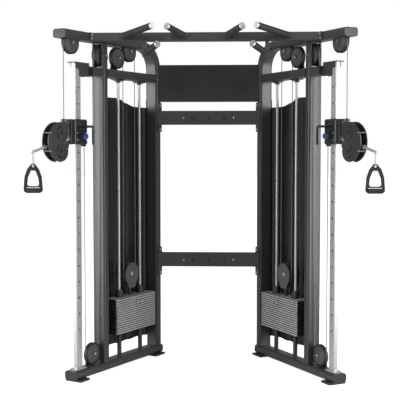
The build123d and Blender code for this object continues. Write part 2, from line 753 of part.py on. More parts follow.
# Swivel head: two cheek plates with curved slots, bridges, a hollow journal above and a pivot below.
with BuildPart() as head_plates:
    for inner_n in (HEAD_INNER, -HEAD_INNER - HEAD_PLATE):
        with BuildSketch(side(inner_n)):
            with Locations((HEAD_S, HEAD_MID)):
                Circle(BROW_R)
            with Locations((HEAD_S + BROW_R, HEAD_MID)):
                Rectangle(2 * BROW_R, 2 * BROW_R + 2, mode=Mode.SUBTRACT)
            with Locations((HEAD_S, HEAD_HIGH), (HEAD_S, HEAD_LOW)):
                Circle(LOBE_R)
            with Locations((HEAD_S + 33, 1580)):
                RectangleRounded(74, 40, 8)
            with Locations((HEAD_S + 30, 1458)):
                RectangleRounded(78, 24, 6)
            for hub_z, turn in ((HEAD_HIGH, 1), (HEAD_LOW, -1)):
                with Locations((HEAD_S, hub_z)):
                    with BuildSketch(mode=Mode.PRIVATE) as arc_slot:
                        SlotArc(CenterArc((0, 0), 38, 100 * turn, 130 * turn), 8)
                    add(arc_slot.sketch, mode=Mode.SUBTRACT)
        extrude(amount=HEAD_PLATE)
    with BuildSketch(side(-HEAD_INNER)):
        with Locations((SWIVEL_S, 1588)):
            RectangleRounded(38, 13, 2)
        with Locations((SWIVEL_S + 3, 1465)):
            RectangleRounded(24, 12, 2)
        with Locations((HEAD_S - BROW_R + 20, HEAD_MID + 54), (HEAD_S - BROW_R + 20, HEAD_MID - 54)):
            Circle(6)
    extrude(amount=2 * HEAD_INNER)
    with BuildSketch(level(1582)):
        with Locations((SWIVEL_S, 0)):
            Circle(JOURNAL_R)
    extrude(amount=EAR_TOP[1] + 3 - 1582)
    with BuildSketch(level(1575)):
        with Locations((SWIVEL_S, 0)):
            Circle(CABLE_R + 2)
    extrude(amount=60, mode=Mode.SUBTRACT)
    with BuildSketch(level(1462)):
        with Locations((SWIVEL_S, 0)):
            Circle(PIVOT_R)
    extrude(amount=EAR_LOW[1] - 1462)
    with BuildSketch(side(-HEAD_INNER - HEAD_PLATE - 5)):
        with Locations((HEAD_S, HEAD_HIGH), (HEAD_S, HEAD_LOW)):
            Circle(AXLE_R)
    extrude(amount=2 * (HEAD_INNER + HEAD_PLATE + 5))
    for outer_n in (HEAD_INNER + HEAD_PLATE, -HEAD_INNER - HEAD_PLATE - 5):
        with BuildSketch(side(outer_n)):
            with Locations((HEAD_S, HEAD_HIGH), (HEAD_S, HEAD_LOW)):
                Circle(11)
        extrude(amount=5)
keep_pair(head_plates, "head_plates")

for sheave_name, sheave_z in (("head_pulley_upper", HEAD_HIGH), ("head_pulley_lower", HEAD_LOW)):
    head_sheave = sheave(HEAD_S, sheave_z, HEAD_FLANGE, HEAD_R, 10, HEAD_INNER - 0.4, 11)
    keep_pair(head_sheave, sheave_name)

# Cables. The runs held by fixed pulleys keep their shape.
dip = math.radians(CABLE_DIP)
leave = (HEAD_S + HEAD_R * math.sin(dip), HEAD_HIGH - HEAD_R * math.cos(dip))
STOP_RUN = 136.0
stop_at = (leave[0] - STOP_RUN * math.cos(dip), leave[1] - STOP_RUN * math.sin(dip))
drop = math.dist((FRONT_POST_S, MID_SHEAVE_Z), (BASE_SHEAVE_S, BASE_SHEAVE_Z))
bearing = math.atan2(BASE_SHEAVE_Z - MID_SHEAVE_Z, BASE_SHEAVE_S - FRONT_POST_S)
lean = bearing - math.acos(2 * SHEAVE_R / drop)
lean_deg = math.degrees(lean) % 360
touch_high = (FRONT_POST_S + SHEAVE_R * math.cos(lean), MID_SHEAVE_Z + SHEAVE_R * math.sin(lean))
touch_low = (BASE_SHEAVE_S - SHEAVE_R * math.cos(lean), BASE_SHEAVE_Z - SHEAVE_R * math.sin(lean))
with BuildPart() as routed_cables:
    with BuildLine(side(0)):
        CenterArc((TOP_SHEAVE_S, TOP_SHEAVE_Z), SHEAVE_R, 180, -90)
        Line((TOP_SHEAVE_S, TOP_LINE), (REAR_SHEAVE_S, TOP_LINE))
        CenterArc((REAR_SHEAVE_S, TOP_SHEAVE_Z), SHEAVE_R, 90, -90)
        Line((REAR_SHEAVE_S + SHEAVE_R, TOP_SHEAVE_Z), (REAR_SHEAVE_S + SHEAVE_R, MID_SHEAVE_Z))
    with BuildSketch(level(TOP_SHEAVE_Z)):
        with Locations((TOP_SHEAVE_S - SHEAVE_R, 0)):
            Circle(CABLE_R)
    sweep()
    with BuildLine(side(0)):
        CenterArc((MID_SHEAVE_S, MID_SHEAVE_Z), SHEAVE_R, 0, 90)
        Line((MID_SHEAVE_S, MID_LINE), (FRONT_POST_S, MID_LINE))
        CenterArc((FRONT_POST_S, MID_SHEAVE_Z), SHEAVE_R, 90, lean_deg - 90)
        Line(touch_high, touch_low)
        CenterArc((BASE_SHEAVE_S, BASE_SHEAVE_Z), SHEAVE_R, lean_deg - 180, -lean_deg)
    with BuildSketch(level(MID_SHEAVE_Z)):
        with Locations((MID_SHEAVE_S + SHEAVE_R, 0)):
            Circle(CABLE_R)
    sweep()
    mirror(about=Plane.YZ)
keep(routed_cables, "routed_cables")


# The upright runs lengthen and shorten as the carriage and the stack move.
def upright_runs(places, low, high):
    """Straight upright lengths of cable at the given places along s."""
    with BuildPart() as runs:
        with BuildSketch(level(low)):
            with Locations(*[(s, 0) for s in places]):
                Circle(CABLE_R)
        extrude(amount=high - low)
    return runs


front_cable = upright_runs((SWIVEL_S,), EAR_TOP[1] + 4, TOP_SHEAVE_Z)
keep_pair(front_cable, "front_cable")
lower_cable = upright_runs((ANCHOR_S,), BASE_SHEAVE_Z, CARRIAGE_LOW - 12)
keep_pair(lower_cable, "lower_cable")
stack_cables = upright_runs((STACK_S - SHEAVE_R, STACK_S + SHEAVE_R), FLOAT_Z, MID_SHEAVE_Z)
keep_pair(stack_cables, "stack_cables")

# The length of cable held by the swivel head, ending in the ball stop.
with BuildPart() as head_cable:
    with BuildLine(side(0)):
        Line((SWIVEL_S, EAR_TOP[1] + 4), (SWIVEL_S, HEAD_HIGH))
        CenterArc((HEAD_S, HEAD_HIGH), HEAD_R, 0, CABLE_DIP - 90)
        Line(leave, stop_at)
    with BuildSketch(level(EAR_TOP[1] + 4)):
        with Locations((SWIVEL_S, 0)):
            Circle(CABLE_R)
    sweep()
    with Locations(spot(stop_at[0], 0, stop_at[1])):
        Sphere(STOP_R)
keep_pair(head_cable, "head_cable")

# Snap link: a swivel barrel on the stop and the wire loop that carries the handle.
EYE_R = 8.0
WIRE_R = 3.0
LOOP_R = 11.5
LOOP_LOW = EYE_Z + EYE_R - 7.2 + LOOP_R
BARREL_END = (HANDLE_S, 1421.0)
barrel_way = math.atan2(BARREL_END[1] - stop_at[1], BARREL_END[0] - stop_at[0])
barrel_from = (
    stop_at[0] + (STOP_R + 0.3) * math.cos(barrel_way),
    stop_at[1] + (STOP_R + 0.3) * math.sin(barrel_way),
)
with BuildPart() as snap_link:
    barrel_start = spot(barrel_from[0], 0, barrel_from[1])
    barrel_axis = spot(BARREL_END[0], 0, BARREL_END[1]) - barrel_start
    with BuildSketch(Plane(origin=barrel_start, z_dir=barrel_axis)):
        Circle(8)
    extrude(amount=barrel_axis.length - 4)
    with Locations(spot(HANDLE_S, 0, 1421)):
        Sphere(10)
    with BuildLine(Plane(origin=spot(HANDLE_S, 0, 0), x_dir=(0, 1, 0), z_dir=(1, 0, 0))):
        Line((-LOOP_R, 1405), (-LOOP_R, LOOP_LOW))
        CenterArc((0, LOOP_LOW), LOOP_R, 180, 180)
        Line((LOOP_R, LOOP_LOW), (LOOP_R, 1405))
        CenterArc((0, 1405), LOOP_R, 0, 180)
    with BuildSketch(Plane(origin=spot(HANDLE_S, 0, 1405) - Vector(0, LOOP_R, 0), z_dir=(0, 0, -1))):
        Circle(WIRE_R)
    sweep()
keep_pair(snap_link, "snap_link")

# Stirrup: a moulded loop with an eye at the top and ears for the turning grip.
STIRRUP_T = 14.0
HUNG = Plane(origin=spot(HANDLE_S, 0, 0), x_dir=(1, 0, 0), z_dir=(0, -1, 0))
with BuildPart() as stirrup:
    with BuildSketch(HUNG):
        with Locations((0, EYE_Z)):
            Circle(EYE_R + 7)
        with Locations((-20, 1315), (20, 1315)):
            Circle(16)
        with Locations((-33, 1272), (33, 1272)):
            Circle(18)
        with Locations((-37, GRIP_Z + 6), (37, GRIP_Z + 6)):
            Circle(19)
        make_hull()
    extrude(amount=STIRRUP_T / 2, both=True)
    fillet(stirrup.edges().filter_by(Plane.XZ), 3)
    with BuildSketch(HUNG):
        with Locations((-8, 1304), (8, 1304)):
            Circle(10)
        with Locations((-20, 1268), (20, 1268)):
            Circle(12)
        with Locations((-22, 1237), (22, 1237)):
            Circle(13)
        make_hull()
    extrude(amount=STIRRUP_T, both=True, mode=Mode.SUBTRACT)
    with BuildSketch(HUNG):
        with Locations((0, EYE_Z)):
            Circle(EYE_R)
        with Locations((0, GRIP_Z - 3)):
            Rectangle(80, 42)
    extrude(amount=STIRRUP_T, both=True, mode=Mode.SUBTRACT)
    with BuildSketch(Plane(origin=spot(HANDLE_S, 0, GRIP_Z) - Vector(41, 0, 0), z_dir=(1, 0, 0))):
        Circle(4)
    extrude(amount=82)
keep_pair(stirrup, "stirrup")

# Turning grip between the stirrup's ears.
with BuildPart() as stirrup_grip:
    with BuildSketch(Plane(origin=spot(HANDLE_S, 0, GRIP_Z) - Vector(39.5, 0, 0), z_dir=(1, 0, 0))):
        Circle(15)
        Circle(4 + RUN_FIT, mode=Mode.SUBTRACT)
    extrude(amount=79)
keep_pair(stirrup_grip, "stirrup_grip")

# Fasteners: pulley axles with their heads, flange bolts, panel screws and clamp screws.
with BuildPart() as fasteners:
    for sheave_name, sheave_s, sheave_z in SHEAVES:
        if sheave_name == "upright_pulley":
            with BuildSketch(side(TUBE_W / 2 + 7)):
                with Locations((sheave_s, sheave_z)):
                    Circle(AXLE_R)
            extrude(amount=-TUBE_W - 14)
            for head_n in (TUBE_W / 2, -TUBE_W / 2 - 7):
                with BuildSketch(side(head_n)):
                    with Locations((sheave_s, sheave_z)):
                        RegularPolygon(11, 6)
                extrude(amount=7)
        else:
            with BuildSketch(side(HUB_HALF + 8)):
                with Locations((sheave_s, sheave_z)):
                    Circle(AXLE_R)
            extrude(amount=-2 * HUB_HALF - 24)
            for head_n in (HUB_HALF + 1, -HUB_HALF - 16):
                with BuildSketch(side(head_n)):
                    with Locations((sheave_s, sheave_z)):
                        RegularPolygon(10, 6)
                extrude(amount=7)
    with BuildSketch(side(INNER_N + FLANGE_T)):
        with Locations(*[(s, z) for s in (152, 250) for z in (BEAM_TOP - 15, BEAM_LOW + 15)]):
            RegularPolygon(9, 6)
        for low, high, flange_low, flange_high in BEAMS:
            for bolt_z in (flange_low + 18, flange_high - 18):
                with Locations((REAR_OUT - TUBE_H / 2, bolt_z)):
                    RegularPolygon(9, 6)
    extrude(amount=6)
    with BuildSketch(level(CROSS_LOW - 9)):
        for s in ROD_S:
            with Locations((s - 34, 0), (s + 34, 0)):
                RegularPolygon(8, 6)
    extrude(amount=-6)
    mirror(about=Plane.YZ)
keep(fasteners, "fasteners")
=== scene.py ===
"""Functional trainer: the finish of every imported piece, and the fine pieces that ride on them."""

import json
import logging
import math
from dataclasses import dataclass
from enum import Enum
from typing import Callable, Dict, List, Optional, Sequence, Tuple

import bmesh
import bpy
from mathutils import Euler, Matrix, Vector


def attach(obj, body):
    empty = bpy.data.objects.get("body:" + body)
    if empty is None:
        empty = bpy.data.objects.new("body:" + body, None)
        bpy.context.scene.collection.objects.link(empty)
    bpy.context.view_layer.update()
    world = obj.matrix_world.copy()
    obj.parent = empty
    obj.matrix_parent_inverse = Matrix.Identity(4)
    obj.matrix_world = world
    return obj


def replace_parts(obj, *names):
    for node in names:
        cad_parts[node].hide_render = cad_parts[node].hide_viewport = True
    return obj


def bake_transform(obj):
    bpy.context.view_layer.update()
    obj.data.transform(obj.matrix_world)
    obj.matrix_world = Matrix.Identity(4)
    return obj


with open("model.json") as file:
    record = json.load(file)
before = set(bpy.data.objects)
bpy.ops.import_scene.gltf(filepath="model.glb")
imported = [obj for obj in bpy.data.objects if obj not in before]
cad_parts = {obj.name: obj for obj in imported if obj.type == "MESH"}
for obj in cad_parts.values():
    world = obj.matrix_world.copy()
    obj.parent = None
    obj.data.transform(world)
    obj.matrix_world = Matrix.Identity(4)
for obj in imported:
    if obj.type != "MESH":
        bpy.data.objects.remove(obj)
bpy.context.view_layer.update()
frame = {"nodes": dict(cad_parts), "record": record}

log = logging.getLogger("trainer")

Colour = Tuple[float, float, float]
Ring = List[Vector]

TOE_IN = math.radians(29.0)
TOWER_X = 825.0
DEPTH_SHIFT = 274.83
CABLE_R = 2.5
STACK_S = 617.6
ROD_S = (498.3, 736.9)
FLOAT_Z = 602.0
TOP_SHEAVE_Z = 2084.0
MID_SHEAVE_Z = 2030.0
BASE_SHEAVE_Z = 138.0


class Side(Enum):
    """The two towers, with the sign of X that each stands on."""

    LEFT = ("left", -1.0)
    RIGHT = ("right", 1.0)

    @property
    def label(self) -> str:
        """The word that starts this tower's node names."""
        return self.value[0]

    @property
    def sign(self) -> float:
        """Minus one on the left and one on the right."""
        return self.value[1]


@dataclass(frozen=True)
class Tower:
    """One tower's own directions: s runs to the rear, n to the inner side, z up."""

    side: Side

    @property
    def name(self) -> str:
        """The word that starts this tower's names."""
        return self.side.label

    @property
    def along(self) -> Vector:
        """The level direction from the front of the tower to its rear."""
        return Vector((-self.side.sign * math.sin(TOE_IN), math.cos(TOE_IN), 0.0))

    @property
    def inward(self) -> Vector:
        """The level direction towards the space between the towers."""
        return Vector((-self.side.sign * math.cos(TOE_IN), -math.sin(TOE_IN), 0.0))

    def spot(self, s: float, n: float, z: float) -> Vector:
        """A point of the tower.

        Args:
            s: millimetres to the rear.
            n: millimetres to the inner side.
            z: millimetres above the floor.

        Returns:
            The point in metres in the shared frame.
        """
        base = Vector((self.side.sign * TOWER_X, -DEPTH_SHIFT, z))
        return (base + self.along * s + self.inward * n) / 1000.0


def circle(centre: Vector, first: Vector, second: Vector, radius: float, steps: int) -> Ring:
    """A round ring.

    Args:
        centre: its middle, in metres.
        first: the direction of its first point.
        second: the direction of a quarter turn on.
        radius: its radius in millimetres.
        steps: how many points it has.

    Returns:
        The ring's points, in metres.
    """
    turns = [2 * math.pi * step / steps for step in range(steps)]
    return [centre + (first * math.cos(turn) + second * math.sin(turn)) * radius / 1000.0 for turn in turns]


class MeshMaker:
    """Collects closed shapes for one visible piece and hands over the finished object."""

    def __init__(self, name: str) -> None:
        """Start an empty piece with this name."""
        self.name = name
        self.bm = bmesh.new()
        self.finishes: List[bpy.types.Material] = []

    def slot_of(self, finish: bpy.types.Material) -> int:
        """The slot number of a material in this piece, added if it is new."""
        if finish not in self.finishes:
            self.finishes.append(finish)
        return self.finishes.index(finish)

    def loft(
        self,
        rings: Sequence[Ring],
        finish: bpy.types.Material,
        closed: bool = False,
        bands: Optional[Dict[int, bpy.types.Material]] = None,
    ) -> None:
        """Skin a run of rings that all have the same number of points.

        Args:
            rings: the rings in order, in metres.
            finish: the material of the skin.
            closed: join the last ring to the first, in place of two end caps.
            bands: another material for the skin that starts at a ring's number.
        """
        made = [[self.bm.verts.new(point) for point in ring] for ring in rings]
        count = len(made[0])
        plain = self.slot_of(finish)
        last = len(made) if closed else len(made) - 1
        for index in range(last):
            here, after = made[index], made[(index + 1) % len(made)]
            number = self.slot_of(bands[index]) if bands and index in bands else plain
            for step in range(count):
                beside = (step + 1) % count
                face = self.bm.faces.new((here[step], here[beside], after[beside], after[step]))
                face.material_index = number
                face.smooth = True
        if not closed:
            for ring in (made[0], made[-1]):
                self.bm.faces.new(ring).material_index = plain

    def lathe(
        self,
        centre: Vector,
        axis: Vector,
        profile: Sequence[Tuple[float, float]],
        finish: bpy.types.Material,
        steps: int = 48,
        closed: bool = False,
        bands: Optional[Dict[int, bpy.types.Material]] = None,
    ) -> None:
        """Turn a profile of millimetre radii and offsets round an axis.

        Args:
            centre: where the axis starts, in metres.
            axis: the direction of the axis.
            profile: radius and distance along the axis of each ring.
            finish: the material of the surface.
            steps: how many flats a turn has.
            closed: the profile is a closed loop round a bore.
            bands: another material from a ring's number on.
        """
        axis = axis.normalized()
        first = axis.orthogonal().normalized()
        second = axis.cross(first)
        rings = [circle(centre + axis * offset / 1000.0, first, second, radius, steps)
                 for radius, offset in profile]
        self.loft(rings, finish, closed, bands)

    def tube(
        self,
        path: Sequence[Vector],
        radius: float,
        finish: bpy.types.Material,
        steps: int = 16,
        closed: bool = False,
    ) -> None:
        """Sweep a round section of a millimetre radius along a path.

        Args:
            path: the points of the middle line, in metres.
            radius: the section's radius in millimetres.
            finish: the material of the tube.
            steps: how many flats the section has.
            closed: the path is a loop.
        """
        rings = []
        count = len(path)
        before_side: Optional[Vector] = None
        for index, point in enumerate(path):
            after = path[(index + 1) % count] if closed or index + 1 < count else point
            before = path[index - 1] if closed or index > 0 else point
            heading = (after - before).normalized()
            if before_side is None:
                side = heading.orthogonal().normalized()
            else:
                side = (before_side - heading * before_side.dot(heading)).normalized()
            before_side = side
            rings.append(circle(point, side, heading.cross(side), radius, steps))
        self.loft(rings, finish, closed)

    def slab(
        self,
        outline: Callable[[float], Ring],
        rise: Vector,
        bevel: float,
        finish: bpy.types.Material,
        rim: Optional[bpy.types.Material] = None,
    ) -> None:
        """Raise an outline into a slab with bevelled rims.

        Args:
            outline: gives the ring drawn in by a number of millimetres.
            rise: the slab's thickness and direction, in metres.
            bevel: the rim's bevel in millimetres.
            finish: the material of the slab.
            rim: another material for the bevels.
        """
        step = rise.normalized() * bevel / 1000.0
        rings = [
            outline(bevel),
            [point + step * 0.35 for point in outline(bevel * 0.35)],
            [point + step for point in outline(0.0)],
            [point + rise - step for point in outline(0.0)],
            [point + rise - step * 0.35 for point in outline(bevel * 0.35)],
            [point + rise for point in outline(bevel)],
        ]
        bands = {index: rim for index in (0, 1, 3, 4)} if rim else None
        self.loft(rings, finish, bands=bands)

    def darken(self, towards: Vector, finish: bpy.types.Material) -> None:
        """Give another material to the faces that point a certain way.

        Args:
            towards: the direction that they face.
            finish: their material.
        """
        number = self.slot_of(finish)
        for face in self.bm.faces:
            face.normal_update()
            if face.normal.dot(towards) > 0.93:
                face.material_index = number

    def done(self, body: str, sharp: float = 35.0) -> bpy.types.Object:
        """Finish the piece and let it ride on a body.

        Args:
            body: the name of the body that it moves with.
            sharp: edges turned by more than this many degrees stay crisp.

        Returns:
            The finished object.
        """
        piece = self.loose(sharp)
        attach(piece, body)
        return piece

    def loose(self, sharp: float = 35.0) -> bpy.types.Object:
        """Finish the piece with nothing to ride on yet.

        Args:
            sharp: edges turned by more than this many degrees stay crisp.

        Returns:
            The finished object.
        """
        bmesh.ops.recalc_face_normals(self.bm, faces=self.bm.faces)
        mesh = bpy.data.meshes.new(self.name)
        for finish in self.finishes:
            mesh.materials.append(finish)
        self.bm.to_mesh(mesh)
        self.bm.free()
        for polygon in mesh.polygons:
            polygon.use_smooth = True
        mesh.set_sharp_from_angle(angle=math.radians(sharp))
        piece = bpy.data.objects.new(self.name, mesh)
        bpy.context.scene.collection.objects.link(piece)
        log.info("piece %s: %d faces", self.name, len(mesh.polygons))
        return piece


def rounded(
    centre: Vector, first: Vector, second: Vector, width: float, height: float, radius: float
) -> Callable[[float], Ring]:
    """A rounded rectangle that can be drawn in.

    Args:
        centre: the middle, in metres.
        first: the direction of the width.
        second: the direction of the height.
        width: millimetres along the first direction.
        height: millimetres along the second direction.
        radius: the corner radius in millimetres.

    Returns:
        A function from a distance in millimetres to the ring drawn in by it.
    """

    def ring(inset: float) -> Ring:
        """The ring drawn in by this many millimetres."""
        corner = max(radius - inset, 0.4)
        half_w, half_h = width / 2 - inset - corner, height / 2 - inset - corner
        points = []
        for quarter, (way_w, way_h) in enumerate(((1, 1), (-1, 1), (-1, -1), (1, -1))):
            for step in range(6):
                angle = math.radians(quarter * 90 + step * 18)
                across = way_w * half_w + corner * math.cos(angle)
                up = way_h * half_h + corner * math.sin(angle)
                points.append(centre + (first * across + second * up) / 1000.0)
        return points

    return ring


class Wiring:
    """Adds and joins shader nodes in one tree."""

    def __init__(self, tree: bpy.types.NodeTree) -> None:
        """Work in this node tree."""
        self.tree = tree

    def add(self, kind: str, **settings: object) -> bpy.types.Node:
        """Add a node and set its own settings."""
        node = self.tree.nodes.new(kind)
        for name, value in settings.items():
            setattr(node, name, value)
        return node

    def join(self, out: bpy.types.NodeSocket, into: bpy.types.NodeSocket) -> None:
        """Link an output to an input."""
        self.tree.links.new(out, into)

    def math(
        self, operation: str, first: object, second: object = 0.0, clamp: bool = False
    ) -> bpy.types.NodeSocket:
        """A math node fed by sockets or numbers.

        Args:
            operation: the node's operation.
            first: a socket or a number.
            second: a socket or a number.
            clamp: keep the result between nought and one.

        Returns:
            The node's output socket.
        """
        node = self.add("ShaderNodeMath", operation=operation, use_clamp=clamp)
        for index, value in enumerate((first, second)):
            if isinstance(value, (int, float)):
                node.inputs[index].default_value = value
            else:
                self.join(value, node.inputs[index])
        return node.outputs[0]

    def noise(self, place: bpy.types.NodeSocket, detail: float, scale: object) -> bpy.types.NodeSocket:
        """A noise texture fixed to the piece.

        Args:
            place: the socket of the coordinates.
            detail: how many finer layers it has.
            scale: a socket or a number.

        Returns:
            The noise value's socket.
        """
        node = self.add("ShaderNodeTexNoise")
        node.inputs["Detail"].default_value = detail
        self.join(place, node.inputs["Vector"])
        if isinstance(scale, (int, float)):
            node.inputs["Scale"].default_value = scale
        else:
            self.join(scale, node.inputs["Scale"])
        return node.outputs[0]

    def blend(
        self, mask: bpy.types.NodeSocket, first: object, second: object
    ) -> bpy.types.NodeSocket:
        """Mix two colours by a mask.

        Args:
            mask: the socket that says how much of the second shows.
            first: a socket or a colour.
            second: a socket or a colour.

        Returns:
            The mixed colour's socket.
        """
        node = self.add("ShaderNodeMix", data_type="RGBA")
        self.join(mask, node.inputs["Factor"])
        for name, value in (("A", first), ("B", second)):
            socket = [one for one in node.inputs if one.name == name and one.type == "RGBA"][0]
            if isinstance(value, tuple):
                socket.default_value = (*value, 1.0)
            else:
                self.join(value, socket)
        return [one for one in node.outputs if one.type == "RGBA"][0]

    def remap(
        self, value: bpy.types.NodeSocket, low: float, high: float, start: float = 0.0, end: float = 1.0
    ) -> bpy.types.NodeSocket:
        """Carry a value from one span to another.

        Args:
            value: the socket to carry over.
            low: what the start of the old span becomes.
            high: what the end of the old span becomes.
            start: the old span's start.
            end: the old span's end.

        Returns:
            The new value's socket.
        """
        node = self.add("ShaderNodeMapRange", clamp=True)
        self.join(value, node.inputs["Value"])
        for name, number in (("From Min", start), ("From Max", end), ("To Min", low), ("To Max", high)):
            node.inputs[name].default_value = number
        return node.outputs["Result"]


@dataclass
class Effects:
    """The shared surface effects, each one node group built once."""

    grain: bpy.types.NodeTree
    wear: bpy.types.NodeTree
    dust: bpy.types.NodeTree
    streaks: bpy.types.NodeTree

    @staticmethod
    def sockets(
        name: str, inputs: Dict[str, float], outputs: Sequence[str]
    ) -> Tuple[Wiring, bpy.types.Node, bpy.types.Node]:
        """Start a group with named number sockets.

        Args:
            name: the group's name.
            inputs: each input's name and default.
            outputs: the outputs' names.

        Returns:
            The wiring, the group's input node and its output node.
        """
        tree = bpy.data.node_groups.new(name, "ShaderNodeTree")
        for label, value in inputs.items():
            socket = tree.interface.new_socket(label, in_out="INPUT", socket_type="NodeSocketFloat")
            socket.default_value = value
        for label in outputs:
            tree.interface.new_socket(label, in_out="OUTPUT", socket_type="NodeSocketFloat")
        wiring = Wiring(tree)
        return wiring, wiring.add("NodeGroupInput"), wiring.add("NodeGroupOutput")

    @classmethod
    def build(cls) -> "Effects":
        """Build all the groups."""
        return cls(cls.make_grain(), cls.make_wear(), cls.make_dust(), cls.make_streaks())

    @classmethod
    def make_grain(cls) -> bpy.types.NodeTree:
        """Fine texture of a coat or a moulding, with a slow change of tone."""
        wiring, given, out = cls.sockets("grain", {"Scale": 900.0, "Patch": 5.0}, ("Height", "Tone"))
        place = wiring.add("ShaderNodeTexCoord").outputs["Object"]
        fine = wiring.noise(place, 3.0, given.outputs["Scale"])
        broad = wiring.noise(place, 5.0, given.outputs["Patch"])
        tone = wiring.math("ADD", wiring.math("MULTIPLY", broad, 0.7), wiring.math("MULTIPLY", fine, 0.3))
        wiring.join(fine, out.inputs["Height"])
        wiring.join(wiring.remap(tone, 0.0, 1.0, 0.32, 0.68), out.inputs["Tone"])
        return wiring.tree

    @classmethod
    def make_wear(cls) -> bpy.types.NodeTree:
        """A broken line of rubbed coat along the edges."""
        wiring, given, out = cls.sockets("edge_wear", {"Width": 0.002, "Amount": 0.5}, ("Mask",))
        bevel = wiring.add("ShaderNodeBevel", samples=4)
        wiring.join(given.outputs["Width"], bevel.inputs["Radius"])
        shape = wiring.add("ShaderNodeNewGeometry")
        dot = wiring.add("ShaderNodeVectorMath", operation="DOT_PRODUCT")
        wiring.join(bevel.outputs[0], dot.inputs[0])
        wiring.join(shape.outputs["Normal"], dot.inputs[1])
        edge = wiring.remap(dot.outputs["Value"], 1.0, 0.0, 0.80, 0.995)
        rub = wiring.noise(wiring.add("ShaderNodeTexCoord").outputs["Object"], 6.0, 60.0)
        broken = wiring.remap(rub, 0.0, 1.0, 0.42, 0.62)
        mask = wiring.math("MULTIPLY", wiring.math("MULTIPLY", edge, broken), given.outputs["Amount"], True)
        wiring.join(mask, out.inputs["Mask"])
        return wiring.tree

    @classmethod
    def make_dust(cls) -> bpy.types.NodeTree:
        """A thin pale film on surfaces that face up."""
        wiring, given, out = cls.sockets("settled_dust", {"Amount": 0.1}, ("Mask",))
        shape = wiring.add("ShaderNodeNewGeometry")
        split = wiring.add("ShaderNodeSeparateXYZ")
        wiring.join(shape.outputs["Normal"], split.inputs[0])
        up = wiring.remap(split.outputs["Z"], 0.0, 1.0, 0.5, 1.0)
        drift = wiring.noise(wiring.add("ShaderNodeTexCoord").outputs["Object"], 6.0, 9.0)
        film = wiring.math("MULTIPLY", up, wiring.remap(drift, 0.3, 1.0, 0.3, 0.7))
        wiring.join(wiring.math("MULTIPLY", film, given.outputs["Amount"], True), out.inputs["Mask"])
        return wiring.tree

    @classmethod
    def make_streaks(cls) -> bpy.types.NodeTree:
        """Long upright drawing lines of a polished bar."""
        wiring, given, out = cls.sockets("drawn_lines", {"Scale": 700.0}, ("Height", "Tone"))
        place = wiring.add("ShaderNodeTexCoord")
        stretch = wiring.add("ShaderNodeMapping")
        stretch.inputs["Scale"].default_value = (1.0, 1.0, 0.01)
        wiring.join(place.outputs["Object"], stretch.inputs["Vector"])
        lines = wiring.noise(stretch.outputs[0], 2.0, given.outputs["Scale"])
        wiring.join(lines, out.inputs["Height"])
        wiring.join(wiring.remap(lines, 0.0, 1.0, 0.3, 0.7), out.inputs["Tone"])
        return wiring.tree


@dataclass(frozen=True)
class Zone:
    """A part of a node, past a plane, that has another colour and metal."""

    direction: Tuple[float, float, float]
    past: float
    colour: Colour
    metallic: float


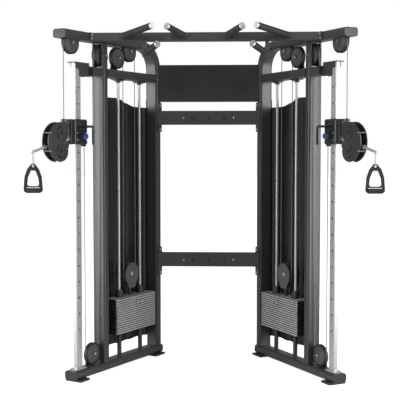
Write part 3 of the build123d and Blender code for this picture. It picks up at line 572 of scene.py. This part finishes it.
@dataclass(frozen=True)
class Finish:
    """How one kind of surface looks."""

    name: str
    colour: Colour
    light: Colour
    roughness: Tuple[float, float]
    metallic: float = 0.0
    grain: float = 900.0
    patch: float = 5.0
    depth: float = 0.08
    drawn: bool = False
    worn: Colour = (0.20, 0.20, 0.21)
    wear: float = 0.0
    wear_width: float = 0.0018
    dust: float = 0.0
    coat: float = 0.0
    zones: Tuple[Zone, ...] = ()

    def masks(self, wiring: Wiring) -> List[bpy.types.NodeSocket]:
        """The mask of each zone, from where the surface lies on the piece."""
        found = []
        for zone in self.zones:
            place = wiring.add("ShaderNodeTexCoord")
            dot = wiring.add("ShaderNodeVectorMath", operation="DOT_PRODUCT")
            wiring.join(place.outputs["Object"], dot.inputs[0])
            dot.inputs[1].default_value = zone.direction
            found.append(wiring.math("GREATER_THAN", dot.outputs["Value"], zone.past))
        return found

    def material(self, effects: Effects) -> bpy.types.Material:
        """Build the material.

        Args:
            effects: the shared effect groups.

        Returns:
            The finished material.
        """
        material = bpy.data.materials.new(self.name)
        material.use_nodes = True
        wiring = Wiring(material.node_tree)
        shader = material.node_tree.nodes["Principled BSDF"]
        texture = wiring.add("ShaderNodeGroup", node_tree=effects.streaks if self.drawn else effects.grain)
        texture.inputs["Scale"].default_value = self.grain
        if not self.drawn:
            texture.inputs["Patch"].default_value = self.patch
        colour = wiring.blend(texture.outputs["Tone"], self.colour, self.light)
        masks = self.masks(wiring)
        for mask, zone in zip(masks, self.zones):
            colour = wiring.blend(mask, colour, zone.colour)
        if self.wear > 0:
            wear = wiring.add("ShaderNodeGroup", node_tree=effects.wear)
            wear.inputs["Amount"].default_value = self.wear
            wear.inputs["Width"].default_value = self.wear_width
            colour = wiring.blend(wear.outputs["Mask"], colour, self.worn)
        if self.dust > 0:
            dust = wiring.add("ShaderNodeGroup", node_tree=effects.dust)
            dust.inputs["Amount"].default_value = self.dust
            colour = wiring.blend(dust.outputs["Mask"], colour, (0.45, 0.44, 0.42))
        wiring.join(colour, shader.inputs["Base Color"])
        rough = wiring.remap(texture.outputs["Tone"], *self.roughness)
        wiring.join(rough, shader.inputs["Roughness"])
        shader.inputs["Metallic"].default_value = self.metallic
        if self.zones:
            metal: object = self.metallic
            for mask, zone in zip(masks, self.zones):
                kept = wiring.math("MULTIPLY", metal, wiring.math("SUBTRACT", 1.0, mask))
                metal = wiring.math("ADD", kept, wiring.math("MULTIPLY", mask, zone.metallic))
            wiring.join(metal, shader.inputs["Metallic"])
        if self.coat > 0:
            shader.inputs["Coat Weight"].default_value = self.coat
            shader.inputs["Coat Roughness"].default_value = 0.08
        bump = wiring.add("ShaderNodeBump")
        bump.inputs["Strength"].default_value = self.depth
        bump.inputs["Distance"].default_value = 0.0004
        wiring.join(texture.outputs["Height"], bump.inputs["Height"])
        wiring.join(bump.outputs[0], shader.inputs["Normal"])
        return material


FINISHES = (
    Finish("frame_paint", (0.030, 0.030, 0.032), (0.046, 0.046, 0.048), (0.28, 0.38),
           grain=1400.0, patch=3.0, depth=0.16, wear=0.35, dust=0.03, coat=0.10),
    Finish("panel_paint", (0.010, 0.010, 0.011), (0.016, 0.016, 0.017), (0.30, 0.42),
           grain=1600.0, patch=3.0, depth=0.18, wear=0.20, dust=0.04),
    Finish("black_plastic", (0.012, 0.012, 0.013), (0.022, 0.022, 0.023), (0.38, 0.55),
           grain=1100.0, patch=9.0, depth=0.22, wear=0.25, worn=(0.09, 0.09, 0.09), dust=0.05),
    Finish("chrome", (0.50, 0.50, 0.51), (0.57, 0.57, 0.58), (0.26, 0.34),
           metallic=0.55, grain=2600.0, depth=0.003, drawn=True),
    Finish("polished_rod", (0.42, 0.42, 0.43), (0.50, 0.50, 0.51), (0.26, 0.34),
           metallic=0.6, grain=2600.0, depth=0.003, drawn=True),
    Finish("dark_steel", (0.030, 0.030, 0.032), (0.060, 0.060, 0.062), (0.28, 0.42),
           metallic=0.35, grain=1300.0, patch=14.0, depth=0.12, wear=0.5, worn=(0.35, 0.35, 0.36)),
    Finish("plate_iron", (0.36, 0.36, 0.365), (0.46, 0.46, 0.465), (0.32, 0.46),
           metallic=0.25, grain=1200.0, patch=12.0, depth=0.14, wear=0.45, worn=(0.30, 0.30, 0.31),
           dust=0.05),
    # painted shade: near-black material for the plates' bevelled rims, end faces and pin-hole discs,
    # standing for the dark gaps between plates, the shaded ends of the stack and the shade inside the holes
    Finish("plate_end", (0.006, 0.006, 0.007), (0.011, 0.011, 0.012), (0.45, 0.60),
           grain=1200.0, patch=12.0, depth=0.14),
    Finish("grip_rubber", (0.010, 0.010, 0.010), (0.020, 0.020, 0.020), (0.55, 0.75),
           grain=2200.0, patch=18.0, depth=0.45, dust=0.10),
    Finish("cable_cover", (0.10, 0.10, 0.105), (0.19, 0.19, 0.195), (0.30, 0.45),
           grain=1500.0, patch=40.0, depth=0.10),
    Finish("carriage_plastic", (0.010, 0.010, 0.011), (0.018, 0.018, 0.019), (0.26, 0.40),
           grain=1500.0, patch=10.0, depth=0.20, wear=0.30, worn=(0.10, 0.10, 0.10), dust=0.04, coat=0.10),
    Finish("bracket_steel", (0.070, 0.070, 0.074), (0.120, 0.120, 0.124), (0.26, 0.40),
           metallic=0.6, grain=1300.0, patch=14.0, depth=0.12, wear=0.5, worn=(0.45, 0.45, 0.46)),
    Finish("blue_plastic", (0.035, 0.080, 0.42), (0.055, 0.115, 0.52), (0.25, 0.38),
           grain=1500.0, patch=25.0, depth=0.12, wear=0.25, worn=(0.25, 0.35, 0.75), coat=0.2),
    Finish("pulley_nylon", (0.045, 0.045, 0.047), (0.078, 0.078, 0.080), (0.28, 0.42),
           grain=1300.0, patch=16.0, depth=0.16, wear=0.35, worn=(0.22, 0.22, 0.22), dust=0.05, coat=0.15),
    # painted shade: near-black material for the pulleys' rim and cable groove, the dimples on their faces
    # and the head pulleys between the head's plates, where shade falls
    Finish("pulley_rim", (0.008, 0.008, 0.009), (0.015, 0.015, 0.016), (0.36, 0.50),
           grain=1300.0, patch=16.0, depth=0.16),
    Finish("pin_steel", (0.62, 0.62, 0.63), (0.82, 0.82, 0.83), (0.16, 0.28),
           metallic=1.0, grain=1500.0, patch=30.0, depth=0.08),
    Finish("bright_zinc", (0.55, 0.55, 0.56), (0.80, 0.80, 0.81), (0.20, 0.34),
           metallic=1.0, grain=1500.0, patch=40.0, depth=0.10),
    Finish("yellow_tag", (0.60, 0.46, 0.05), (0.72, 0.56, 0.09), (0.35, 0.50),
           grain=1500.0, patch=40.0, depth=0.12, wear=0.3, worn=(0.75, 0.68, 0.40)),
    Finish("window_lens", (0.020, 0.021, 0.022), (0.034, 0.035, 0.036), (0.16, 0.26),
           grain=1500.0, patch=30.0, depth=0.03),
)


class Palette:
    """Every finish as a material, by name."""

    def __init__(self, effects: Effects) -> None:
        """Build the plain finishes."""
        self.effects = effects
        self.made = {finish.name: finish.material(effects) for finish in FINISHES}

    def __getitem__(self, name: str) -> bpy.types.Material:
        """The material of this name."""
        return self.made[name]

    def zoned(self, base: str, name: str, zones: Tuple[Zone, ...]) -> bpy.types.Material:
        """A finish whose colour changes past planes.

        Args:
            base: the finish that it starts from.
            name: the new material's name.
            zones: the zones, in order.

        Returns:
            The material, built once for its name.
        """
        if name not in self.made:
            start = next(finish for finish in FINISHES if finish.name == base)
            values = {key: getattr(start, key) for key in start.__dataclass_fields__}
            values.update(name=name, zones=zones)
            self.made[name] = Finish(**values).material(self.effects)
        return self.made[name]


@dataclass
class PackedPieces:
    """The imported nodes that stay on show, and the finish of each."""

    palette: Palette
    special: Dict[str, str]

    def dress(self) -> None:
        """Put a finish in each node's slots."""
        slots = {part["node"]: part["material_slot"] for part in frame["record"]["subparts"]}
        for name, node in frame["nodes"].items():
            finish = self.special.get(name, slots[name])
            if not node.material_slots:
                node.data.materials.append(None)
            for slot in node.material_slots:
                slot.material = self.palette[finish]
            log.info("node %s: %s", name, finish)


@dataclass
class Pulleys:
    """The turned pulleys of one tower, with a domed face, a bright hub and a dark rim, the rim and cable
    groove darkened with painted shade.
    """

    tower: Tower
    palette: Palette
    flange: float = 69.8
    cable: float = 66.0
    bore: float = 7.4
    hub: float = 13.0
    rim_half: float = 13.8
    dome: float = 17.6
    hub_half: float = 18.8
    stack_dome: float = 14.8
    stack_hub_half: float = 16.9

    def profile(self, hub_half: float, dome: float) -> List[Tuple[float, float]]:
        """The closed outline of one pulley.

        Args:
            hub_half: half the hub's length.
            dome: how far the face stands out beside the hub.

        Returns:
            Radius and offset of each corner, round the section.
        """
        near = [(self.bore, -hub_half), (self.hub - 0.8, -hub_half), (self.hub, -hub_half + 0.8),
                (self.hub + 0.4, -dome + 0.6), (self.hub + 4, -dome)]
        for step in range(1, 6):
            share = step / 6
            radius = self.hub + 4 + (self.flange - 17 - self.hub) * share
            near.append((radius, -(self.rim_half + (dome - self.rim_half) * (1 - share ** 2.2))))
        near += [(self.flange - 12.5, -self.rim_half), (self.flange - 11.5, -self.rim_half + 1.2),
                 (self.flange - 9.5, -self.rim_half + 1.2), (self.flange - 8.5, -self.rim_half),
                 (self.flange - 3, -self.rim_half), (self.flange - 0.8, -self.rim_half + 0.9),
                 (self.flange, -self.rim_half + 3), (self.flange, -CABLE_R - 3.4),
                 (self.flange - 0.8, -CABLE_R - 2.4), (self.cable - 1.4, -2.2), (self.cable - 2.7, -0.9)]
        return near + [(radius, -offset) for radius, offset in reversed(near)]

    def build(self, name: str, s: float, z: float, hub_half: float, dome: float) -> None:
        """Make one pulley in place of its plain node.

        Args:
            name: the node's name without the tower.
            s: where it stands along the tower.
            z: its height.
            hub_half: half the hub's length.
            dome: how far the face stands out.
        """
        maker = MeshMaker(f"{self.tower.name}_{name}_turned")
        outline = self.profile(hub_half, dome)
        # rim holds the painted shade material for the rim, the cable groove and the face dimples
        rim, hub = self.palette["pulley_rim"], self.palette["dark_steel"]
        bands = {0: hub, 1: hub, 2: hub}
        half = len(outline) // 2
        for index in range(11, len(outline) - 12):
            bands[index] = rim
        for index in range(len(outline) - 4, len(outline)):
            bands[index] = hub
        bands[half - 1] = rim
        maker.lathe(self.tower.spot(s, 0, z), self.tower.inward, outline, self.palette["pulley_nylon"],
                    steps=72, closed=True, bands=bands)
        # five dimples on each face, painted with the shade material to stand for the shade inside them
        for face in (-1, 1):
            for turn in range(5):
                angle = math.radians(72 * turn + 18)
                middle = self.tower.spot(s + 34 * math.cos(angle), 0, z + 34 * math.sin(angle))
                depth = self.rim_half + (dome - self.rim_half) * 0.72
                start = middle + self.tower.inward * face * (depth - 1.2) / 1000.0
                maker.lathe(start, self.tower.inward * face,
                            ((4.6, 0.0), (4.6, 1.1), (3.8, 1.8), (2.0, 2.1)), rim, steps=16)
        piece = maker.done(f"{self.tower.name}_{name.replace('pulley', 'sheave')}", 28)
        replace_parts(piece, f"{self.tower.name}_{name}")

    def build_all(self) -> None:
        """Make the six large pulleys of the tower."""
        for name, s, z in (
            ("top_front_pulley", 14.0, TOP_SHEAVE_Z),
            ("upright_pulley", 306.0, MID_SHEAVE_Z),
            ("crossmember_pulley", 485.6, MID_SHEAVE_Z),
            ("top_rear_pulley", STACK_S, TOP_SHEAVE_Z),
            ("base_pulley", 207.0, BASE_SHEAVE_Z),
        ):
            self.build(name, s, z, self.hub_half, self.dome)
        self.build("stack_pulley", STACK_S, FLOAT_Z, self.stack_hub_half, self.stack_dome)


@dataclass
class Cables:
    """The upright cable runs of one tower, and the turn under the floating pulley."""

    tower: Tower
    palette: Palette
    swivel_s: float = -52.0
    anchor_s: float = 141.0
    turn_r: float = 66.0
    carriage_low: float = 1455.0
    carriage_high: float = 1622.0

    def run(self, name: str, places: Sequence[float], low: float, high: float,
            fixed_high: bool) -> None:
        """Make upright runs between the frame and a moving body.

        Args:
            name: the node's name without the tower.
            places: where the runs stand along the tower.
            low: the height of the lower ends.
            high: the height of the upper ends.
            fixed_high: the frame holds the upper ends.
        """
        maker = MeshMaker(f"{self.tower.name}_{name}_run")
        for s in places:
            path = [self.tower.spot(s, 0, low), self.tower.spot(s, 0, high)]
            maker.tube(path, CABLE_R, self.palette["cable_cover"], steps=20)
        piece = maker.loose()
        top, bottom = self.tower.spot(places[0], 0, high), self.tower.spot(places[0], 0, low)
        start, end = (top, bottom) if fixed_high else (bottom, top)
        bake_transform(piece)
        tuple(start)
        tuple(end)
        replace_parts(piece, f"{self.tower.name}_{name}")

    def turn(self) -> None:
        """Make the half turn of cable under the floating pulley."""
        path = []
        for step in range(25):
            angle = math.pi + math.pi * step / 24
            path.append(self.tower.spot(STACK_S + self.turn_r * math.cos(angle), 0,
                                        FLOAT_Z + self.turn_r * math.sin(angle)))
        maker = MeshMaker(f"{self.tower.name}_floating_turn")
        maker.tube(path, CABLE_R, self.palette["cable_cover"], steps=14)
        maker.done(f"{self.tower.name}_stack")

    def build(self) -> None:
        """Make every run of the tower."""
        self.run("front_cable", (self.swivel_s,), self.carriage_high, TOP_SHEAVE_Z, True)
        self.run("lower_cable", (self.anchor_s,), BASE_SHEAVE_Z, self.carriage_low, False)
        self.run("stack_cables", (STACK_S - self.turn_r, STACK_S + self.turn_r), FLOAT_Z, MID_SHEAVE_Z,
                 True)
        self.turn()


@dataclass
class WeightPlates:
    """Bevelled iron plates with a slot for the pin holes down the middle, with painted shade on their rims,
    end faces and pin holes.
    """

    palette: Palette
    low: float = 226.0
    pitch: float = 14.5
    thick: float = 14.0
    long: float = 449.6
    wide: float = 119.6
    corner: float = 9.0
    bevel: float = 2.6
    count: int = 16
    lifted: int = 3

    def outline(self, tower: Tower, z: float) -> Callable[[float], Ring]:
        """One plate's outline with its two notches.

        Args:
            tower: the tower that it hangs in.
            z: the height of its lower face.

        Returns:
            A function from a distance in millimetres to the ring drawn in by it.
        """

        def ring(inset: float) -> Ring:
            """The ring drawn in by this many millimetres."""
            half_l, half_w = self.long / 2 - inset, self.wide / 2 - inset
            corner = max(self.corner - inset, 1.0)
            quarter: List[Tuple[float, float]] = []
            for step in range(6):
                angle = math.radians(18 * step)
                quarter.append((half_l - corner + corner * math.cos(angle),
                                half_w - corner + corner * math.sin(angle)))
            notch = [(7.6 + inset, half_w), (7.0 + inset, half_w - 1.1)]
            right = quarter + notch
            left = [(-a, b) for a, b in reversed(right)]
            flat = right + left
            flat += [(-a, -b) for a, b in flat]
            return [tower.spot(STACK_S + a, b, z) for a, b in flat]

        return ring

    def plates(self, maker: MeshMaker, tower: Tower, first: int, last: int) -> None:
        """Add the plates from one number up to another.

        Args:
            maker: the piece that they go in.
            tower: the tower that they hang in.
            first: the lowest plate's number from the bottom.
            last: the number after the highest plate's.
        """
        # dark is painted shade: the bevelled rims stand for the dark gaps between the plates and the small
        # discs for the shade inside the pin holes
        iron, dark = self.palette["plate_iron"], self.palette["plate_end"]
        for index in range(first, last):
            z = self.low + self.pitch * index
            maker.slab(self.outline(tower, z + 0.1), Vector((0, 0, self.thick / 1000.0)), self.bevel, iron,
                       dark)
            for n, way in ((self.wide / 2 - 1.2, 1), (-self.wide / 2 + 1.2, -1)):
                maker.lathe(tower.spot(STACK_S, n - 2.0 * way, z + 7.1), tower.inward * way,
                            ((5.2, 0.0), (5.2, 2.1), (4.4, 2.1), (4.2, 0.4)), dark, steps=18)
        # painted shade: the end faces of every plate take the near-black shade material
        for way in (-1, 1):
            maker.darken(tower.along * way, dark)

    def build(self, towers: Sequence[Tower]) -> None:
        """Make the resting plates of both towers and the lifted plates of each."""
        split = self.count - self.lifted
        resting = MeshMaker("resting_plates_bevelled")
        for tower in towers:
            self.plates(resting, tower, 0, split)
        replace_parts(resting.done("frame"), "resting_plates")
        for tower in towers:
            lifted = MeshMaker(f"{tower.name}_lifted_plates_bevelled")
            self.plates(lifted, tower, split, self.count)
            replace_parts(lifted.done(f"{tower.name}_stack"), f"{tower.name}_lifted_plates")


@dataclass
class CarriageTrim:
    """Window lens, socket screws and a fluted knob ring on one carriage."""

    tower: Tower
    palette: Palette
    column_s: float = 67.0
    face_n: float = 42.0
    knob_z: float = 1516.2
    knob_r: float = 17.0
    knob_n: float = 65.0

    def lens(self) -> None:
        """Make the plain lens of the position window."""
        maker = MeshMaker(f"{self.tower.name}_window_lens")
        ring = rounded(self.tower.spot(self.column_s, self.face_n - 1.9, 1590.0), self.tower.along,
                       Vector((0, 0, 1)), 45.0, 21.0, 3.6)
        maker.slab(ring, self.tower.inward * 0.0016, 0.5, self.palette["window_lens"])
        maker.done(f"{self.tower.name}_carriage")

    def screws(self) -> None:
        """Make the four socket screws on the housing's face."""
        maker = MeshMaker(f"{self.tower.name}_carriage_screws")
        for s, z in ((25.0, 1495.0), (25.0, 1537.0), (110.0, 1495.0), (110.0, 1537.0)):
            button_screw(maker, self.tower.spot(s, self.face_n + 3.0, z), self.tower.inward, 4.6, 1.6,
                         self.palette["bright_zinc"])
        maker.done(f"{self.tower.name}_carriage")

    def knob(self) -> None:
        """Make the fluted ring round the pull knob."""
        maker = MeshMaker(f"{self.tower.name}_knob_flutes")
        rings = []
        for offset, grow in ((2.0, -1.0), (3.2, 0.6), (8.0, 1.0), (13.0, 0.6), (14.2, -1.0)):
            ring = []
            for step in range(96):
                angle = 2 * math.pi * step / 96
                radius = self.knob_r + grow + 0.9 * math.cos(12 * angle)
                ring.append(self.tower.spot(self.column_s + radius * math.cos(angle),
                                            self.knob_n + offset,
                                            self.knob_z + radius * math.sin(angle)))
            rings.append(ring)
        maker.loft(rings, self.palette["blue_plastic"])
        maker.done(f"{self.tower.name}_plunger")

    def build(self) -> None:
        """Make all the trim of one carriage."""
        self.lens()
        self.screws()
        self.knob()


def button_screw(
    maker: MeshMaker, seat: Vector, axis: Vector, radius: float, height: float,
    finish: bpy.types.Material,
) -> None:
    """Add a domed screw head with a round-cornered socket.

    Args:
        maker: the piece that it goes in.
        seat: the middle of its seat, in metres.
        axis: the way it points.
        radius: the head's radius in millimetres.
        height: the head's height in millimetres.
        finish: its material.
    """
    profile = [(radius * 0.6, -0.5), (radius, 0.0), (radius, height * 0.25), (radius * 0.88, height * 0.7),
               (radius * 0.62, height), (radius * 0.45, height), (radius * 0.40, height * 0.9),
               (radius * 0.38, height * 0.2)]
    maker.lathe(seat, axis, profile, finish, steps=24)


@dataclass
class HeadTrim:
    """Bolt heads and screws on one swivel head."""

    tower: Tower
    palette: Palette
    hub_s: float = -104.0
    plate_n: float = 25.5
    hubs: Tuple[float, float] = (1535.0, 1426.0)

    def build(self) -> None:
        """Make the hub bolts, their washers and the spacer screws."""
        maker = MeshMaker(f"{self.tower.name}_head_bolts")
        steel, dark = self.palette["bright_zinc"], self.palette["dark_steel"]
        for way in (-1, 1):
            axis = self.tower.inward * way
            for z in self.hubs:
                maker.lathe(self.tower.spot(self.hub_s, (self.plate_n + 5.0) * way, z), axis,
                            ((10.4, -0.3), (10.4, 1.0), (9.6, 1.6), (6.5, 1.6)), dark, steps=36)
                maker.lathe(self.tower.spot(self.hub_s, (self.plate_n + 6.4) * way, z), axis,
                            ((6.2, 0.0), (6.2, 3.2), (5.2, 4.0), (3.0, 4.0), (2.8, 1.2)), dark, steps=6)
                for turn in range(3):
                    angle = math.radians(120 * turn + 30)
                    button_screw(maker, self.tower.spot(self.hub_s + 24 * math.cos(angle),
                                                        self.plate_n * way, z + 24 * math.sin(angle)),
                                 axis, 3.0, 1.3, dark)
            for rise in (54.0, -54.0):
                button_screw(maker, self.tower.spot(self.hub_s - 100.0, self.plate_n * way, 1480.5 + rise),
                             axis, 4.4, 1.8, steel)
        maker.done(f"{self.tower.name}_head")


@dataclass
class YokeTrim:
    """Bright axle nuts on the floating pulley's cheeks, and rings round the top bushings."""

    tower: Tower
    palette: Palette
    cheek_n: float = 21.5
    top_z: float = 506.0

    def build(self) -> None:
        """Make the nuts, their washers and the bushing rings."""
        maker = MeshMaker(f"{self.tower.name}_yoke_nuts")
        zinc, steel = self.palette["bright_zinc"], self.palette["bracket_steel"]
        for way in (-1, 1):
            axis = self.tower.inward * way
            maker.lathe(self.tower.spot(STACK_S, self.cheek_n * way, FLOAT_Z), axis,
                        ((13.0, -0.2), (13.0, 1.0), (12.2, 1.6), (8.0, 1.6)), zinc, steps=36)
            maker.lathe(self.tower.spot(STACK_S, (self.cheek_n + 1.4) * way, FLOAT_Z), axis,
                        ((9.0, 0.0), (9.0, 3.6), (7.8, 4.4), (6.2, 4.4)), zinc, steps=6)
            maker.lathe(self.tower.spot(STACK_S, self.cheek_n * way, FLOAT_Z), axis,
                        ((74.6, -2.2), (74.6, -0.3), (73.8, 0.5), (70.4, 0.5), (69.6, -0.3), (69.6, -2.2)),
                        steel, steps=96, closed=True)
        for s in ROD_S:
            maker.lathe(self.tower.spot(s, 0, self.top_z), Vector((0, 0, -1)),
                        ((24.0, -0.9), (25.4, 0.2), (25.4, 4.0), (24.9, 4.6), (24.0, 4.6)),
                        self.palette["black_plastic"], steps=40, closed=True)
        maker.done(f"{self.tower.name}_stack")


@dataclass
class SelectorTrim:
    """The coloured collar of one selector pin."""

    tower: Tower
    palette: Palette
    pin_z: float = 421.6

    def build(self) -> None:
        """Make the collar."""
        maker = MeshMaker(f"{self.tower.name}_pin_collar")
        maker.lathe(self.tower.spot(STACK_S, 64.6, self.pin_z), self.tower.inward,
                    ((6.55, 0.0), (7.7, 0.8), (8.0, 2.0), (8.0, 16.0), (7.6, 17.6), (6.55, 18.4)),
                    self.palette["yellow_tag"], steps=32, closed=True)
        maker.done(f"{self.tower.name}_pin")


@dataclass
class FrameTrim:
    """Weld beads, panel screws and cover plugs on the fixed frame."""

    towers: Sequence[Tower]
    palette: Palette
    beam_face: float = 745.0
    beam_heights: Tuple[float, float] = (1653.0, 672.0)

    def welds(self) -> None:
        """Make the weld beads round the foot and the head of each upright."""
        maker = MeshMaker("weld_beads")
        up = Vector((0, 0, 1))
        for tower in self.towers:
            for s, long, wide, corner, z in (
                (306.0, 50.0, 96.0, 13.0, 67.2),
                (306.0, 50.0, 95.0, 13.0, 2102.8),
                (908.0, 54.0, 96.0, 16.0, 67.2),
                (67.0, 96.0, 62.0, 8.0, 67.0),
            ):
                foot = tower.spot(s, 0, z)
                ring = rounded(foot, tower.along, tower.inward, long + 1.0, wide - 2.0, corner)
                maker.tube(ring(0.0), 2.0, self.palette["frame_paint"], steps=8, closed=True)
            for s in (176.0, 280.6, 331.4, 880.6):
                ring = rounded(tower.spot(s, 0, 1921.5), tower.inward, up, 96.5, 53.5, 10.0)
                maker.tube(ring(0.0), 1.8, self.palette["frame_paint"], steps=8, closed=True)
        maker.done("frame")

    def beam_hardware(self) -> None:
        """Make the bright screws and dark plugs on the crossbeams' front faces."""
        screws = MeshMaker("crossbeam_screws")
        plugs = MeshMaker("crossbeam_plugs")
        forward = Vector((0, -1, 0))
        for z in self.beam_heights:
            for x in (-172.0, 172.0):
                seat = Vector((x, self.beam_face - DEPTH_SHIFT, z)) / 1000.0
                button_screw(screws, seat, forward, 6.5, 2.6, self.palette["bright_zinc"])
            for x in (-107.0, 0.0, 107.0):
                seat = Vector((x, self.beam_face - DEPTH_SHIFT, z)) / 1000.0
                plugs.lathe(seat, forward, ((11.0, -0.4), (11.0, 0.8), (9.8, 1.8), (5.0, 2.3)),
                            self.palette["black_plastic"], steps=32)
        screws.done("frame")
        plugs.done("frame")

    def cover_screws(self) -> None:
        """Make the screws that hold the tower covers to the uprights."""
        maker = MeshMaker("cover_screws")
        for tower in self.towers:
            for s in (321.0, 902.0):
                for z in (190.0, 560.0, 930.0, 1300.0, 1670.0):
                    button_screw(maker, tower.spot(s, -50.4, z), -tower.inward, 5.0, 2.2,
                                 self.palette["dark_steel"])
        maker.done("frame")

    def build(self) -> None:
        """Make all the trim of the fixed frame."""
        self.welds()
        self.beam_hardware()
        self.cover_screws()


@dataclass
class Studio:
    """A plain pale floor, soft lights and the camera."""

    floor_half: float = 40.0
    camera_at: Tuple[float, float, float] = (0.1939, -5.7625, 1.4416)
    pitch: float = 3.26
    yaw: float = 2.32
    lens: float = 81.34
    room_light: float = 0.32
    floor_glow: float = 0.85

    def floor(self) -> None:
        """Make the floor."""
        mesh = bpy.data.meshes.new("floor")
        half = self.floor_half
        mesh.from_pydata([(-half, -half, -0.0005), (half, -half, -0.0005), (half, half, -0.0005),
                          (-half, half, -0.0005)], [], [(0, 1, 2, 3)])
        floor = bpy.data.objects.new("floor", mesh)
        bpy.context.scene.collection.objects.link(floor)
        material = bpy.data.materials.new("pale_floor")
        material.use_nodes = True
        wiring = Wiring(material.node_tree)
        shader = material.node_tree.nodes["Principled BSDF"]
        cloud = wiring.add("ShaderNodeTexNoise")
        cloud.inputs["Scale"].default_value = 0.6
        tone = wiring.blend(cloud.outputs[0], (0.93, 0.93, 0.93), (0.97, 0.97, 0.97))
        wiring.join(tone, shader.inputs["Base Color"])
        shader.inputs["Roughness"].default_value = 0.9
        shader.inputs["Specular IOR Level"].default_value = 0.1
        shader.inputs["Emission Color"].default_value = (1.0, 1.0, 1.0, 1.0)
        rays = wiring.add("ShaderNodeLightPath")
        glow = wiring.math("MULTIPLY", rays.outputs["Is Camera Ray"], self.floor_glow)
        wiring.join(glow, shader.inputs["Emission Strength"])
        mesh.materials.append(material)

    def light(self, name: str, at: Tuple[float, float, float], aim: Tuple[float, float, float],
              size: Tuple[float, float], power: float) -> None:
        """Add one soft light.

        Args:
            name: its name.
            at: where it stands, in metres.
            aim: the point that it faces.
            size: its width and height in metres.
            power: its power in watts.
        """
        data = bpy.data.lights.new(name, "AREA")
        data.shape = "RECTANGLE"
        data.size, data.size_y = size
        data.energy = power
        lamp = bpy.data.objects.new(name, data)
        bpy.context.scene.collection.objects.link(lamp)
        way = Vector(aim) - Vector(at)
        lamp.matrix_world = Matrix.Translation(at) @ way.to_track_quat("-Z", "Y").to_matrix().to_4x4()

    def world(self) -> None:
        """Make the even white surroundings."""
        world = bpy.data.worlds.new("studio")
        world.use_nodes = True
        wiring = Wiring(world.node_tree)
        backdrop = world.node_tree.nodes["Background"]
        backdrop.inputs["Color"].default_value = (1.0, 1.0, 1.0, 1.0)
        rays = wiring.add("ShaderNodeLightPath")
        strength = wiring.remap(rays.outputs["Is Camera Ray"], self.room_light, 1.0)
        wiring.join(strength, backdrop.inputs["Strength"])
        bpy.context.scene.world = world

    def camera(self) -> None:
        """Make the camera."""
        data = bpy.data.cameras.new("camera")
        data.lens = self.lens
        data.sensor_width = 36.0
        camera = bpy.data.objects.new("camera", data)
        camera.location = self.camera_at
        camera.rotation_euler = Euler((math.radians(90 - self.pitch), 0.0, math.radians(self.yaw)))
        bpy.context.scene.collection.objects.link(camera)
        bpy.context.scene.camera = camera

    def build(self) -> None:
        """Set up the whole studio."""
        self.camera()
        self.world()
        self.floor()
        for way in (-1, 1):
            self.light(f"side_{way + 1}", (way * 4.4, -1.8, 1.6), (0.0, 0.1, 1.1), (2.4, 4.2), 185.0)
            self.light(f"inner_{way + 1}", (way * 1.2, -4.8, 3.6), (-way * 0.7, 0.0, 1.0), (0.8, 1.4), 24.0)
        bpy.context.scene.view_settings.view_transform = "Standard"


def main() -> None:
    """Build every sub-assembly in order."""
    logging.basicConfig(level=logging.INFO, format="%(name)s %(message)s")
    studio = Studio()
    studio.build()
    palette = Palette(Effects.build())
    towers = [Tower(Side.LEFT), Tower(Side.RIGHT)]
    special = {"fasteners": "bright_zinc"}
    for tower in towers:
        inward = tower.inward
        middle = tower.spot(0, 0, 0).dot(inward)
        palette.zoned("pin_steel", f"{tower.name}_plunger_finish",
                      (Zone(tuple(inward), middle + 0.070, (0.040, 0.090, 0.46), 0.0),))
        palette.zoned("pin_steel", f"{tower.name}_yoke_finish", (
            Zone((0.0, 0.0, 1.0), 0.4575, (0.022, 0.022, 0.023), 0.1),
            Zone((0.0, 0.0, 1.0), 0.5065, (0.085, 0.085, 0.088), 0.3),
        ))
        palette.zoned("bracket_steel", f"{tower.name}_bracket_finish",
                      (Zone(tuple(inward), middle + 0.0455, (0.014, 0.014, 0.015), 0.0),))
        special[f"{tower.name}_carriage_bracket"] = f"{tower.name}_bracket_finish"
        special[f"{tower.name}_plunger"] = f"{tower.name}_plunger_finish"
        special[f"{tower.name}_stack_yoke"] = f"{tower.name}_yoke_finish"
        # painted shade: the head pulleys, sitting between the head's plates, take the whole near-black
        # shade material
        special[f"{tower.name}_head_pulley_upper"] = "pulley_rim"
        special[f"{tower.name}_head_pulley_lower"] = "pulley_rim"
    PackedPieces(palette, special).dress()
    WeightPlates(palette).build(towers)
    for tower in towers:
        Pulleys(tower, palette).build_all()
        Cables(tower, palette).build()
        CarriageTrim(tower, palette).build()
        HeadTrim(tower, palette).build()
        YokeTrim(tower, palette).build()
        SelectorTrim(tower, palette).build()
    FrameTrim(towers, palette).build()


if __name__ == "__main__":
    main()
